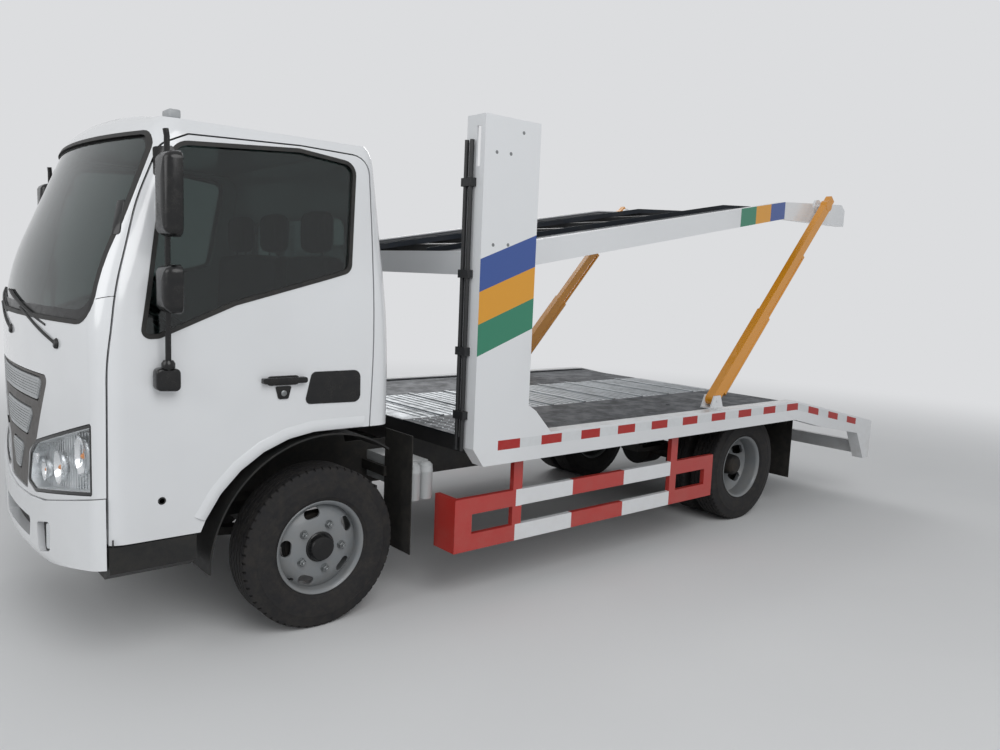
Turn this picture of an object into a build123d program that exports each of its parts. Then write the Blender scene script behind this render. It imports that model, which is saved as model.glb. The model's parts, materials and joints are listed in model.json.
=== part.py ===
"""Two-deck car carrier truck with a forward-control cab.

Millimetres. +X points forward, +Y to the left, +Z up. The origin is on the ground,
midway along the overall length and midway across the width.
"""

import os
from math import asin, atan2, cos, degrees, hypot, sin, tan, radians

from build123d import *

os.makedirs("parts", exist_ok=True)

# Overall length and wheel positions
overall_length = 5995
front_overhang = 1110
wheelbase = 3360
nose_x = overall_length / 2
tail_x = -overall_length / 2
front_axle_x = nose_x - front_overhang
rear_axle_x = front_axle_x - wheelbase
running_gap = 0.3
swing_gap = 8

# Tyres and rims
tyre_diameter = 775
tyre_width = 200
tyre_bore_radius = 213
rim_width = 150
rim_flange_radius = 224
front_tyre_y = 790
rear_outer_face_y = 950
twin_gap = 30
wheel_z = tyre_diameter / 2
tyre_radius = tyre_diameter / 2
rear_outer_y = rear_outer_face_y - tyre_width / 2
rear_inner_y = rear_outer_y - tyre_width - twin_gap
hand_hole_radius = 21
hand_hole_count = 8
spindle_radius = 30
kingpin_y = 690
kingpin_radius = 16
axle_boss_radius = 36

# Ladder frame
rail_height = 190
rail_flange = 70
rail_wall = 8
rail_bottom_z = 520
rail_outer_y = 365
rail_front_x = 2780
rail_rear_x = -2250
rail_top_z = rail_bottom_z + rail_height
rail_web_y = rail_outer_y - rail_wall
subframe_height = 70
subframe_top_z = rail_top_z + subframe_height

# Cab shell
cab_half_width = 940
cab_wall = 50
cab_rear_x = front_axle_x - 324
cab_front_x = nose_x - 12.5
cab_corner_reach = 110
cab_corner_sweep = 130
cab_front_bow = 75
cab_rear_radius = 70
belt_z = 1420
roof_z = 2332
windscreen_lean = 16.5
side_lean = 9.6
rear_lean = 2.0
cab_floor_z = 585
cab_nose_z = 782
glass_depth = 12
glass_thickness = 6

# Doors
door_front_x = 2836
door_rear_x = 1690
door_gap = 9
door_rebate = 8
door_lip = 12
hinge_back = 12
hinge_in = 5
hinge_pin_radius = 3

bumper_rear_x = door_front_x + door_gap

# Cab tilt pivot
pivot_x = 2740
pivot_z = 620
pivot_radius = 20

# Lower deck
deck_half_width = 1138
deck_rail_bottom_z = 743
deck_rail_top_z = 881
deck_rail_width = 88
deck_rail_wall = 8
deck_kink_x = -1800
deck_front_x = 1140
deck_plate_drop = 15
deck_plate = 6
deck_tail_top_z = 640
deck_tail_bottom_z = 331
centre_plate_half = 400
deck_top_z = deck_rail_top_z - deck_plate_drop
deck_web_y = deck_half_width - deck_rail_wall

# Posts and sliding carriage
post_front_x = 1207.5
post_rear_x = 850.5
post_depth = 140
post_wall = 8
post_lip = 40
post_top_z = 2458
shoe_height = 240
beam_depth = 60
beam_bottom_z = 1695
beam_height = 120
deck_pin_x = 1000
deck_pin_z = 1774
deck_pin_radius = 18

# Upper deck
upper_half_width = 950
upper_rail_width = 60
upper_slope = 0.1725
upper_front_x = 1050
upper_front_top_z = 1833.4
upper_front_bottom_z = 1697
upper_peak_x = -1730
upper_peak_top_z = 2313
upper_peak_bottom_z = 2192
upper_tail_x = -2600
upper_tail_top_z = 2362
upper_tail_bottom_z = 2198
runway_inner_y = 420
runway_drop = 30
runway_plate = 6

# Telescopic rear arms
arm_y = 1025
arm_width = 60
arm_height = 76
arm_wall = 5
arm_base_x = -915
arm_base_z = 938
arm_eye_x = -2173
arm_eye_z = 2320
arm_eye_radius = 40
arm_pin_radius = 15
sleeve_length = 789
arm_rod_start = 590
arm_tip = 75
ram_offset = 66
ram_radius = 22
ram_rod_radius = 12

# Side guards
guard_outer_y = 1060
guard_thickness = 30
guard_front_x = 1247
guard_rear_x = -922
guard_bottom_z = 285
guard_top_z = 565
guard_bar = 88


def outline(plane, points):
    """Closed flat outline through the given points."""
    with BuildSketch(plane) as flat:
        with BuildLine():
            Polyline(*points, close=True)
        make_face()
    return flat.sketch


def side_slab(points, y_low, y_high, mode=Mode.ADD):
    """Outline drawn as (x, z), extruded from one width to another."""
    return extrude(outline(Plane.XZ.offset(-y_high), points), amount=y_high - y_low, mode=mode)


def front_slab(points, x_low, x_high, mode=Mode.ADD):
    """Outline drawn as (y, z), extruded along the vehicle."""
    return extrude(outline(Plane.YZ.offset(x_low), points), amount=x_high - x_low, mode=mode)


def block(low, high, mode=Mode.ADD):
    """Box between two opposite corners."""
    size = [end - start for start, end in zip(low, high)]
    middle = [(start + end) / 2 for start, end in zip(low, high)]
    with Locations(tuple(middle)):
        Box(*size, mode=mode)


def cross_tube(x, z, radius, y_low, y_high, mode=Mode.ADD):
    """Round bar across the vehicle."""
    with BuildSketch(Plane.XZ.offset(-y_high)) as disc:
        with Locations((x, z)):
            Circle(radius)
    extrude(disc.sketch, amount=y_high - y_low, mode=mode)


def keep(piece, name):
    """Label a finished piece and write it under its own name."""
    piece.part.label = name
    export_step(piece.part, f"parts/{name}.step")


def mirrored(piece):
    """The same piece for the other side."""
    with BuildPart() as other:
        mirror(piece.part, about=Plane.XZ)
    return other


def wheel_plane(x, y, side):
    """Radial section plane of a wheel: local x points outboard, local y points up."""
    return Plane((x, side * y, wheel_z), x_dir=(0, side, 0), z_dir=(side, 0, 0))


def wheel_axis(x, side):
    """Line through a wheel's centre, pointing outboard."""
    return Axis((x, 0, wheel_z), (0, side, 0))


# Wheels

def tyre(x, y, side):
    """One tyre: beads, bulged sidewalls and a flat crown."""
    half = tyre_width / 2
    bead = rim_width / 2
    seat = rim_flange_radius + 1
    with BuildPart() as ring:
        with BuildSketch(wheel_plane(x, y, side)):
            with BuildLine():
                Line((-bead, tyre_bore_radius), (bead, tyre_bore_radius))
                Line((bead, tyre_bore_radius), (bead, seat))
                ThreePointArc((bead, seat), (half, 300), (half - 14, tyre_radius - 14))
                Line((half - 14, tyre_radius - 14), (half - 28, tyre_radius))
                Line((half - 28, tyre_radius), (28 - half, tyre_radius))
                Line((28 - half, tyre_radius), (14 - half, tyre_radius - 14))
                ThreePointArc((14 - half, tyre_radius - 14), (-half, 300), (-bead, seat))
                Line((-bead, seat), (-bead, tyre_bore_radius))
            make_face()
        revolve(axis=wheel_axis(x, side))
    return ring.part


def barrel_points(flip=1):
    """Section of a rim barrel with its two flanges, as (outboard, radius)."""
    half = rim_width / 2
    inner = tyre_bore_radius - 8
    return [
        (-half, inner), (half, inner), (half + 8, rim_flange_radius), (half, rim_flange_radius),
        (half, tyre_bore_radius), (-half, tyre_bore_radius), (-half, rim_flange_radius),
        (-half - 8, rim_flange_radius),
    ]


def hand_holes(x, side, radius, y_from, depth):
    """Ring of round holes through a wheel disc."""
    plane = Plane((x, side * y_from, wheel_z), x_dir=(1, 0, 0), z_dir=(0, side, 0))
    with BuildSketch(plane) as holes:
        with PolarLocations(radius, hand_hole_count):
            Circle(hand_hole_radius)
    extrude(holes.sketch, amount=depth, mode=Mode.SUBTRACT)


def front_rim(side):
    """Front rim with its outward-domed disc, hub and brake drum."""
    barrel_inner = tyre_bore_radius - 8
    disc = [(28, barrel_inner), (40, barrel_inner), (66, 150), (66, 60), (56, 60), (56, 145)]
    hub = [
        (-34, 0), (-34, 150), (8, 150), (8, 70), (56, 70), (76, 62), (76, 44), (92, 34), (92, 0),
    ]
    with BuildPart() as rim:
        plane = wheel_plane(front_axle_x, front_tyre_y, side)
        for points in (barrel_points(), disc, hub):
            revolve(outline(plane, points), axis=wheel_axis(front_axle_x, side))
        bore = [(-35, 0), (-35, spindle_radius + running_gap), (52, spindle_radius + running_gap), (52, 0)]
        revolve(outline(plane, bore), axis=wheel_axis(front_axle_x, side), mode=Mode.SUBTRACT)
        hand_holes(front_axle_x, side, 172, front_tyre_y + 20, 60)
    return rim


def rear_rim(side):
    """Twin rear rims with their discs back to back, hub and brake drum."""
    middle_y = (rear_outer_y + rear_inner_y) / 2
    half_pitch = (rear_outer_y - rear_inner_y) / 2
    barrel_inner = tyre_bore_radius - 8
    outer = [(half_pitch - 40, barrel_inner), (half_pitch - 28, barrel_inner), (12, 140), (12, 60), (0, 60), (0, 145)]
    inner = [(-offset, radius) for offset, radius in outer]
    hub = [
        (-170, 0), (-170, 160), (-50, 160), (-50, 90), (30, 90), (50, 74), (135, 70), (150, 60), (150, 0),
    ]
    with BuildPart() as rim:
        for y in (rear_outer_y, rear_inner_y):
            barrel = outline(wheel_plane(rear_axle_x, y, side), barrel_points())
            revolve(barrel, axis=wheel_axis(rear_axle_x, side))
        plane = wheel_plane(rear_axle_x, middle_y, side)
        for points in (outer, inner, hub):
            revolve(outline(plane, points), axis=wheel_axis(rear_axle_x, side))
        reach = 110
        bore_radius = spindle_radius + 5 + running_gap
        bore = [(-171, 0), (-171, bore_radius), (reach, bore_radius), (reach, 0)]
        revolve(outline(plane, bore), axis=wheel_axis(rear_axle_x, side), mode=Mode.SUBTRACT)
        hand_holes(rear_axle_x, side, 168, middle_y - half_pitch, 2 * half_pitch)
    return rim


sides = [("left", 1), ("right", -1)]
for side_name, side in sides:
    with BuildPart() as front_tyre:
        add(tyre(front_axle_x, front_tyre_y, side))
    keep(front_tyre, f"front_tyre_{side_name}")
    with BuildPart() as rear_tyres:
        add(tyre(rear_axle_x, rear_outer_y, side))
        add(tyre(rear_axle_x, rear_inner_y, side))
    keep(rear_tyres, f"rear_tyres_{side_name}")
    keep(front_rim(side), f"front_rim_{side_name}")
    keep(rear_rim(side), f"rear_rims_{side_name}")


# Front axle, knuckles and rear axle
beam_half_depth = 35
ear_top_z = 470
ear_bottom_z = 305
boss_top_z = 430
boss_bottom_z = 345
beam_outline = [
    (-660, boss_top_z), (-600, boss_top_z), (-520, 370), (520, 370), (600, boss_top_z), (660, boss_top_z),
    (660, boss_bottom_z), (580, boss_bottom_z), (500, 290), (-500, 290), (-580, boss_bottom_z), (-660, boss_bottom_z),
]
with BuildPart() as front_axle:
    front_slab(beam_outline, front_axle_x - beam_half_depth, front_axle_x + beam_half_depth)
    with BuildSketch(Plane.XY.offset(boss_bottom_z)):
        with Locations((front_axle_x, kingpin_y), (front_axle_x, -kingpin_y)):
            Circle(axle_boss_radius)
    extrude(amount=boss_top_z - boss_bottom_z)
    with BuildSketch(Plane.XY.offset(boss_bottom_z)):
        with Locations((front_axle_x, kingpin_y), (front_axle_x, -kingpin_y)):
            Circle(kingpin_radius + running_gap)
    extrude(amount=boss_top_z - boss_bottom_z, mode=Mode.SUBTRACT)
keep(front_axle, "front_axle")


def knuckle(side):
    """Forked steering knuckle with its king pin, wheel spindle and brake backplate."""
    plate_y = kingpin_y + axle_boss_radius + 2
    face_y = plate_y + 18
    with BuildPart() as fork:
        for low, high in ((ear_bottom_z, boss_bottom_z - running_gap), (boss_top_z + running_gap, ear_top_z)):
            with BuildSketch(Plane.XY.offset(low)):
                with Locations((front_axle_x, side * kingpin_y)):
                    Circle(axle_boss_radius)
                with Locations((front_axle_x, side * (kingpin_y + plate_y) / 2)):
                    Rectangle(2 * axle_boss_radius, plate_y - kingpin_y)
            extrude(amount=high - low)
        y_low, y_high = sorted((side * plate_y, side * face_y))
        block(
            (front_axle_x - axle_boss_radius, y_low, ear_bottom_z),
            (front_axle_x + axle_boss_radius, y_high, ear_top_z),
        )
        with BuildSketch(Plane.XY.offset(ear_bottom_z)):
            with Locations((front_axle_x, side * kingpin_y)):
                Circle(kingpin_radius)
        extrude(amount=ear_top_z - ear_bottom_z)
        plane = Plane((front_axle_x, side * face_y, wheel_z), x_dir=(1, 0, 0), z_dir=(0, side, 0))
        with BuildSketch(plane):
            Circle(140)
        extrude(amount=6)
        with BuildSketch(plane):
            Circle(spindle_radius)
        extrude(amount=front_tyre_y + 50 - face_y)
    return fork


for side_name, side in sides:
    keep(knuckle(side), f"knuckle_{side_name}")

housing_radius = 65
banjo_radius = 150
spring_half_width = 35
spring_y = 420
rear_spindle_end = 830
pinion_z = 450
with BuildPart() as rear_axle:
    cross_tube(rear_axle_x, wheel_z, housing_radius, -545, 545)
    cross_tube(rear_axle_x, wheel_z, spindle_radius + 5, -rear_spindle_end, rear_spindle_end)
    with BuildSketch(Plane.YZ.offset(rear_axle_x)):
        with Locations((0, wheel_z)):
            Circle(banjo_radius)
    extrude(amount=90, both=True)
    with BuildSketch(Plane.YZ.offset(rear_axle_x)):
        with Locations((0, pinion_z)):
            Circle(60)
    extrude(amount=220)
keep(rear_axle, "rear_axle")


# Leaf springs with their hangers
springs = [
    # axle x, half span, underside at the axle, underside at the eyes, thickness
    (front_axle_x, 550, 370, 430, 45),
    (rear_axle_x, 600, wheel_z + housing_radius, 470, 45),
]
with BuildPart() as leaf_springs:
    for axle_x, half_span, seat_z, eye_z, thickness in springs:
        with BuildSketch(Plane.XZ.offset(-spring_y - spring_half_width)) as leaf:
            with BuildLine():
                ThreePointArc((axle_x - half_span, eye_z), (axle_x, seat_z), (axle_x + half_span, eye_z))
                Line((axle_x + half_span, eye_z), (axle_x + half_span, eye_z + thickness / 2))
                ThreePointArc(
                    (axle_x + half_span, eye_z + thickness / 2),
                    (axle_x, seat_z + thickness),
                    (axle_x - half_span, eye_z + thickness / 2),
                )
                Line((axle_x - half_span, eye_z + thickness / 2), (axle_x - half_span, eye_z))
            make_face()
        extrude(leaf.sketch, amount=2 * spring_half_width)
        for end in (-1, 1):
            hanger_x = axle_x + end * (half_span - 20)
            block(
                (hanger_x - 25, rail_outer_y - rail_flange, eye_z),
                (hanger_x + 25, spring_y + spring_half_width, rail_bottom_z),
            )
    mirror(about=Plane.XZ)
keep(leaf_springs, "leaf_springs")


# Ladder frame with the raised subframe that carries the deck
with BuildPart() as frame_rails:
    rail_section = [
        (rail_outer_y - rail_flange, rail_bottom_z), (rail_outer_y, rail_bottom_z),
        (rail_outer_y, rail_top_z), (rail_outer_y - rail_flange, rail_top_z),
        (rail_outer_y - rail_flange, rail_top_z - rail_wall), (rail_web_y, rail_top_z - rail_wall),
        (rail_web_y, rail_bottom_z + rail_wall), (rail_outer_y - rail_flange, rail_bottom_z + rail_wall),
    ]
    front_slab(rail_section, rail_rear_x, rail_front_x)
    block(
        (-2150, rail_outer_y - rail_flange, rail_top_z),
        (deck_front_x, rail_outer_y, subframe_top_z),
    )
    cross_tube(pivot_x, pivot_z, pivot_radius + running_gap, rail_web_y - 5, rail_outer_y + 5, Mode.SUBTRACT)
    mirror(about=Plane.XZ)
keep(frame_rails, "frame_rails")

member_low_z = 560
member_high_z = 680
frame_member_x = [2300, 1080, 500, -100, -700, -1200, -1750, -2220]
rest_x = 1630
with BuildPart() as frame_cross_members:
    for x in frame_member_x:
        channel = [
            (x - 35, member_low_z), (x + 35, member_low_z), (x + 35, member_high_z), (x - 35, member_high_z),
            (x - 35, member_high_z - 8), (x + 27, member_high_z - 8), (x + 27, member_low_z + 8),
            (x - 35, member_low_z + 8),
        ]
        side_slab(channel, -rail_web_y, rail_web_y)
    cross_tube(pivot_x, pivot_z, pivot_radius, -425, 425)
    for side in (1, -1):
        y_low, y_high = sorted((side * (rail_outer_y - rail_flange), side * rail_outer_y))
        block((rest_x - 30, y_low, rail_top_z), (rest_x + 30, y_high, 965 - running_gap))
keep(frame_cross_members, "frame_cross_members")


# Engine with its gearbox, drive shaft, tank, exhaust and side box
engine_half = 265
shaft_radius = 38
gearbox_rear_x = 1180
with BuildPart() as engine:
    block((1500, -engine_half, 425), (2240, engine_half, 845))
    block((gearbox_rear_x, -150, 400), (1500, 150, 640))
    for x in (1640, 2120):
        block((x - 40, -rail_web_y, 580), (x + 40, rail_web_y, 640))
keep(engine, "engine")

with BuildPart() as propshaft:
    with BuildSketch(Plane.YZ.offset(rear_axle_x + 220)):
        with Locations((0, pinion_z)):
            Circle(shaft_radius)
    extrude(amount=gearbox_rear_x - rear_axle_x - 220)
    for x in (rear_axle_x + 220, gearbox_rear_x - 30):
        with BuildSketch(Plane.YZ.offset(x)) as flange:
            with Locations((0, pinion_z)):
                Circle(60)
        extrude(flange.sketch, amount=30)
keep(propshaft, "propshaft")

tank_inner_y = 425
tank_outer_y = 900
with BuildPart() as fuel_tank:
    with BuildSketch(Plane.YZ.offset(120)) as tank_section:
        with Locations((-(tank_inner_y + tank_outer_y) / 2, 505)):
            RectangleRounded(tank_outer_y - tank_inner_y, 350, 60)
    extrude(tank_section.sketch, amount=700)
    for x in (260, 680):
        block((x - 25, -tank_inner_y, 560), (x + 25, -rail_outer_y, 640))
keep(fuel_tank, "fuel_tank")

with BuildPart() as exhaust:
    with BuildSketch(Plane.YZ.offset(-780)) as muffler_section:
        with Locations((-590, 510)):
            Ellipse(150, 100)
    extrude(muffler_section.sketch, amount=620)
    with BuildSketch(Plane.YZ.offset(-160)) as pipe_section:
        with Locations((-475, 475)):
            Circle(28)
    extrude(pipe_section.sketch, amount=240)
    for x in (-650, -300):
        block((x - 20, -450, 520), (x + 20, -rail_outer_y, 580))
keep(exhaust, "exhaust")

with BuildPart() as side_box:
    with BuildSketch(Plane.XY.offset(545)) as box_plan:
        with Locations((1340, 810)):
            RectangleRounded(150, 210, 20)
    extrude(box_plan.sketch, amount=190)
    block((1300, rail_outer_y, 600), (1380, 710, 650))
keep(side_box, "side_box")


# Mud flaps
with BuildPart() as mud_flaps:
    block((1424, 680, 280), (1430, 930, 890))
    block((1424, rail_outer_y, 640), (1446, 700, 690))
    block((-2106, 530, 230), (-2100, 945, 705))
    block((-2100, rail_outer_y, 640), (-2078, 900, 690))
    mirror(about=Plane.XZ)
keep(mud_flaps, "mud_flaps")


# Lower deck
deck_slope = (deck_rail_top_z - deck_tail_top_z) / (deck_kink_x - tail_x)


def deck_drop(x):
    """How far the sloped tail of the lower deck has dropped at a place."""
    return max(0, deck_kink_x - x) * deck_slope


deck_rail_outline = [
    (post_front_x, deck_rail_top_z), (post_front_x, 836), (deck_front_x, deck_rail_bottom_z),
    (deck_kink_x, deck_rail_bottom_z), (-2195, 654), (-2767, 555), (-2905, deck_tail_bottom_z),
    (tail_x, deck_tail_bottom_z), (tail_x, deck_tail_top_z), (deck_kink_x, deck_rail_top_z),
]
with BuildPart() as lower_rails:
    side_slab(deck_rail_outline, deck_half_width - deck_rail_width, deck_half_width)
    with BuildSketch(Plane.XZ.offset(-deck_web_y)) as pocket:
        with BuildLine():
            Polyline(*deck_rail_outline, close=True)
        make_face()
        offset(amount=-deck_rail_wall, kind=Kind.INTERSECTION)
    extrude(pocket.sketch, amount=deck_rail_width - deck_rail_wall, mode=Mode.SUBTRACT)
    mirror(about=Plane.XZ)
keep(lower_rails, "lower_rails")


def deck_sheet(y_low, y_high, top_z):
    """Bent floor sheet that follows the deck down its tail."""
    front, rear = deck_front_x, tail_x + 8
    points = [
        (front, top_z), (deck_kink_x, top_z), (rear, top_z - deck_drop(rear)),
        (rear, top_z - deck_drop(rear) - deck_plate), (deck_kink_x, top_z - deck_plate),
        (front, top_z - deck_plate),
    ]
    side_slab(points, y_low, y_high)


lashing_x = 800
lashing_y = 750
lashing_radius = 17.5
with BuildPart() as lower_centre_plate:
    deck_sheet(-centre_plate_half, centre_plate_half, deck_top_z)
    for index in range(9):
        x = 860 - 300 * index
        block((x - 12, -centre_plate_half, deck_top_z), (x + 12, centre_plate_half, deck_top_z + 8))
keep(lower_centre_plate, "lower_centre_plate")

with BuildPart() as lower_tracks:
    deck_sheet(centre_plate_half + 2, deck_web_y - 2, deck_top_z)
    with BuildSketch(Plane.XY.offset(deck_top_z - deck_plate)) as lashing:
        with Locations((lashing_x, lashing_y), (-lashing_x, lashing_y)):
            Circle(lashing_radius)
    extrude(lashing.sketch, amount=deck_plate, mode=Mode.SUBTRACT)
    mirror(about=Plane.XZ)
keep(lower_tracks, "lower_tracks")

deck_member_x = [1105, 560, 10, -540, -1045]
tail_member_x = [-1910, -2330, -2700]
with BuildPart() as lower_cross_members:
    for x in deck_member_x:
        block(
            (x - 30, -deck_web_y, subframe_top_z),
            (x + 30, deck_web_y, deck_top_z - deck_plate),
        )
    for x in tail_member_x:
        plane = Plane(
            (x, deck_web_y, deck_top_z - deck_drop(x) - deck_plate),
            x_dir=(1, 0, deck_slope),
            z_dir=(0, -1, 0),
        )
        with BuildSketch(plane):
            Rectangle(60, 50, align=(Align.CENTER, Align.MAX))
        extrude(amount=2 * deck_web_y)
    block((tail_x + 20, -deck_web_y, 545), (tail_x + 60, deck_web_y, 610))
keep(lower_cross_members, "lower_cross_members")

tow_eye_x = tail_x + 52
tow_eye_z = 312
tow_eye_radius = 18
with BuildPart() as rear_bar:
    block((tail_x + 24, -deck_web_y, 360), (tail_x + 74, deck_web_y, 460))
    eye_plate = [
        (tail_x + 24, 360), (tail_x + 80, 360), (tail_x + 80, 290), (tail_x + 65, 278),
        (tail_x + 39, 278), (tail_x + 24, 290),
    ]
    side_slab(eye_plate, -10, 10)
    cross_tube(tow_eye_x, tow_eye_z, tow_eye_radius, -20, 20, Mode.SUBTRACT)
keep(rear_bar, "rear_bar")

with BuildPart() as tail_lamps:
    block((tail_x + 6, 620, 370), (tail_x + 24, 960, 450))
    mirror(about=Plane.XZ)
keep(tail_lamps, "tail_lamps")


# Posts, open inwards, with lips that hold the carriage shoes
post_inner_y = deck_half_width - post_depth
post_section = [
    (post_front_x, deck_half_width), (post_front_x, post_inner_y),
    (post_front_x - post_lip, post_inner_y), (post_front_x - post_lip, post_inner_y + post_wall),
    (post_front_x - post_wall, post_inner_y + post_wall), (post_front_x - post_wall, deck_half_width - post_wall),
    (post_rear_x + post_wall, deck_half_width - post_wall), (post_rear_x + post_wall, post_inner_y + post_wall),
    (post_rear_x + post_lip, post_inner_y + post_wall), (post_rear_x + post_lip, post_inner_y),
    (post_rear_x, post_inner_y), (post_rear_x, deck_half_width),
]
gusset = [
    (post_rear_x, 1037), (post_rear_x - 54, 1002), (post_rear_x - 170, deck_rail_top_z),
    (post_rear_x, deck_rail_top_z),
]
with BuildPart() as posts:
    extrude(outline(Plane.XY.offset(deck_rail_top_z), post_section), amount=post_top_z - deck_rail_top_z)
    block((post_rear_x, post_inner_y, deck_rail_top_z), (post_front_x, deck_half_width, deck_rail_top_z + 10))
    block((post_rear_x, post_inner_y, post_top_z - post_wall), (post_front_x, deck_half_width, post_top_z))
    side_slab(gusset, deck_half_width - post_wall, deck_half_width)
    slot = [(1075, 2215), (1105, 2215), (1105, 2405), (1075, 2405)]
    front_slab(slot, post_front_x - post_wall - 1, post_front_x + 1, Mode.SUBTRACT)
    mirror(about=Plane.XZ)
keep(posts, "posts")

pipe_x = post_front_x + 18
pipe_y = [1022, 1062]
clamp_z = [1000, 1320, 1700, 2140]
with BuildPart() as post_pipes:
    for y in pipe_y:
        with BuildSketch(Plane.XY.offset(820)) as pipe:
            with Locations((pipe_x, y)):
                Circle(11)
        extrude(pipe.sketch, amount=1520)
    for z in clamp_z:
        block((post_front_x, 1002, z - 20), (pipe_x + 14, 1082, z + 20))
    mirror(about=Plane.XZ)
keep(post_pipes, "post_pipes")

neck_half = 124
shoe_x = (post_front_x + post_rear_x) / 2
with BuildPart() as carriage:
    shoe_low = deck_pin_z - shoe_height / 2
    shoe_high = deck_pin_z + shoe_height / 2
    block(
        (post_rear_x + post_wall + running_gap, post_inner_y + post_wall + 6, shoe_low),
        (post_front_x - post_wall - running_gap, deck_half_width - post_wall - 6, shoe_high),
    )
    block((shoe_x - neck_half, upper_half_width + 8, shoe_low), (shoe_x + neck_half, 1030, shoe_high))
    cross_tube(deck_pin_x, deck_pin_z, deck_pin_radius, upper_half_width - upper_rail_width - 6, 1030)
    mirror(about=Plane.XZ)
    block(
        (shoe_x + neck_half - 14 - beam_depth, -upper_half_width - 20, beam_bottom_z),
        (shoe_x + neck_half - 14, upper_half_width + 20, beam_bottom_z + beam_height),
    )
keep(carriage, "carriage")


# Upper deck
upper_rail_outline = [
    (upper_front_x, upper_front_top_z), (upper_front_x, upper_front_bottom_z),
    (upper_peak_x, upper_peak_bottom_z), (upper_tail_x, upper_tail_bottom_z),
    (upper_tail_x, upper_tail_top_z - 40), (upper_tail_x + 55, upper_tail_top_z),
    (upper_peak_x, upper_peak_top_z),
]
upper_web_y = upper_half_width - 8
with BuildPart() as upper_rails:
    with BuildSketch(Plane.XZ.offset(-upper_half_width)) as rail_side:
        with BuildLine():
            Polyline(*upper_rail_outline, close=True)
        make_face()
        fillet(rail_side.vertices().group_by(Axis.X)[-1], radius=52)
    extrude(rail_side.sketch, amount=upper_rail_width)
    with BuildSketch(Plane.XZ.offset(-upper_web_y)) as rail_pocket:
        with BuildLine():
            Polyline(*upper_rail_outline, close=True)
        make_face()
        fillet(rail_pocket.vertices().group_by(Axis.X)[-1], radius=52)
        offset(amount=-8, kind=Kind.INTERSECTION)
        with Locations((deck_pin_x, deck_pin_z)):
            Circle(deck_pin_radius + 6, mode=Mode.SUBTRACT)
    extrude(rail_pocket.sketch, amount=upper_rail_width - 8, mode=Mode.SUBTRACT)
    cross_tube(
        deck_pin_x, deck_pin_z, deck_pin_radius + running_gap,
        upper_half_width - upper_rail_width - 1, upper_half_width + 1, Mode.SUBTRACT,
    )
    cross_tube(arm_eye_x, arm_eye_z, arm_eye_radius + 8, upper_web_y, upper_half_width + 10)
    cross_tube(arm_eye_x, arm_eye_z, arm_pin_radius, upper_half_width, upper_half_width + 36)
    mirror(about=Plane.XZ)
keep(upper_rails, "upper_rails")


def upper_top(x):
    """Height of the upper rail's top edge."""
    if x > upper_peak_x:
        share = (upper_front_x - x) / (upper_front_x - upper_peak_x)
        return upper_front_top_z + share * (upper_peak_top_z - upper_front_top_z)
    share = (upper_peak_x - x) / (upper_peak_x - upper_tail_x)
    return upper_peak_top_z + share * (upper_tail_top_z - upper_peak_top_z)


runway_front_x = upper_front_x - 22
runway_rear_x = upper_tail_x + 40
with BuildPart() as upper_runways:
    stations = [runway_front_x, upper_peak_x, runway_rear_x]
    top_edge = [(x, upper_top(x) - runway_drop) for x in stations]
    low_edge = [(x, z - runway_plate) for x, z in reversed(top_edge)]
    side_slab(top_edge + low_edge, runway_inner_y, upper_web_y)
    curb = [(x, z + 30) for x, z in top_edge] + low_edge
    side_slab(curb, runway_inner_y, runway_inner_y + 6)
    mirror(about=Plane.XZ)
keep(upper_runways, "upper_runways")

upper_member_x = [915, 500, 30, -440, -910, -1380, -1790, -2160, -2540]
with BuildPart() as upper_cross_members:
    for x in upper_member_x:
        step = 10
        rise = (upper_top(x + step) - upper_top(x - step)) / (2 * step)
        plane = Plane(
            (x, upper_web_y, upper_top(x) - runway_drop - runway_plate),
            x_dir=(1, 0, rise),
            z_dir=(0, -1, 0),
        )
        with BuildSketch(plane):
            Rectangle(60, 50, align=(Align.CENTER, Align.MAX))
        extrude(amount=2 * upper_web_y)
keep(upper_cross_members, "upper_cross_members")


# Telescopic arms
arm_run = arm_base_x - arm_eye_x
arm_rise = arm_eye_z - arm_base_z
arm_length = hypot(arm_run, arm_rise)
arm_x_dir = (-arm_run / arm_length, 0, arm_rise / arm_length)
arm_plane = Plane(
    (arm_base_x, arm_y, arm_base_z),
    x_dir=arm_x_dir,
    z_dir=(0, 1, 0),
)
ear_gap = 1
bracket_inner_y = arm_y - arm_width / 2 - ear_gap - 10
bracket_outer_y = arm_y + arm_width / 2 + ear_gap + 10
with BuildPart() as arm_brackets:
    ear = [
        (arm_base_x - 70, deck_rail_top_z), (arm_base_x + 70, deck_rail_top_z),
        (arm_base_x + 34, arm_base_z + 28), (arm_base_x - 34, arm_base_z + 28),
    ]
    side_slab(ear, bracket_inner_y, bracket_inner_y + 10)
    side_slab(ear, bracket_outer_y - 10, bracket_outer_y)
    block((arm_base_x - 70, bracket_inner_y, deck_rail_top_z), (arm_base_x + 70, 1120, deck_rail_top_z + 8))
    cross_tube(arm_base_x, arm_base_z, arm_pin_radius, bracket_inner_y - 6, bracket_outer_y + 6)
    mirror(about=Plane.XZ)
keep(arm_brackets, "arm_brackets")


def arm_bar(start, end, height, width, offset_down=0.0, mode=Mode.ADD):
    """Square bar along the arm, from one distance to another."""
    with BuildSketch(arm_plane.offset(-width / 2)) as bar:
        with Locations(((start + end) / 2, offset_down)):
            Rectangle(end - start, height)
    extrude(bar.sketch, amount=width, mode=mode)


def arm_tube(start, end, radius, mode=Mode.ADD):
    """Round bar along the lifting ram's line, below the arm."""
    centre = arm_plane.from_local_coords(Vector(start, ram_side * ram_offset, 0))
    with BuildSketch(Plane(centre, x_dir=(0, 1, 0), z_dir=arm_x_dir)) as disc:
        Circle(radius)
    extrude(disc.sketch, amount=end - start, mode=mode)


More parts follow.
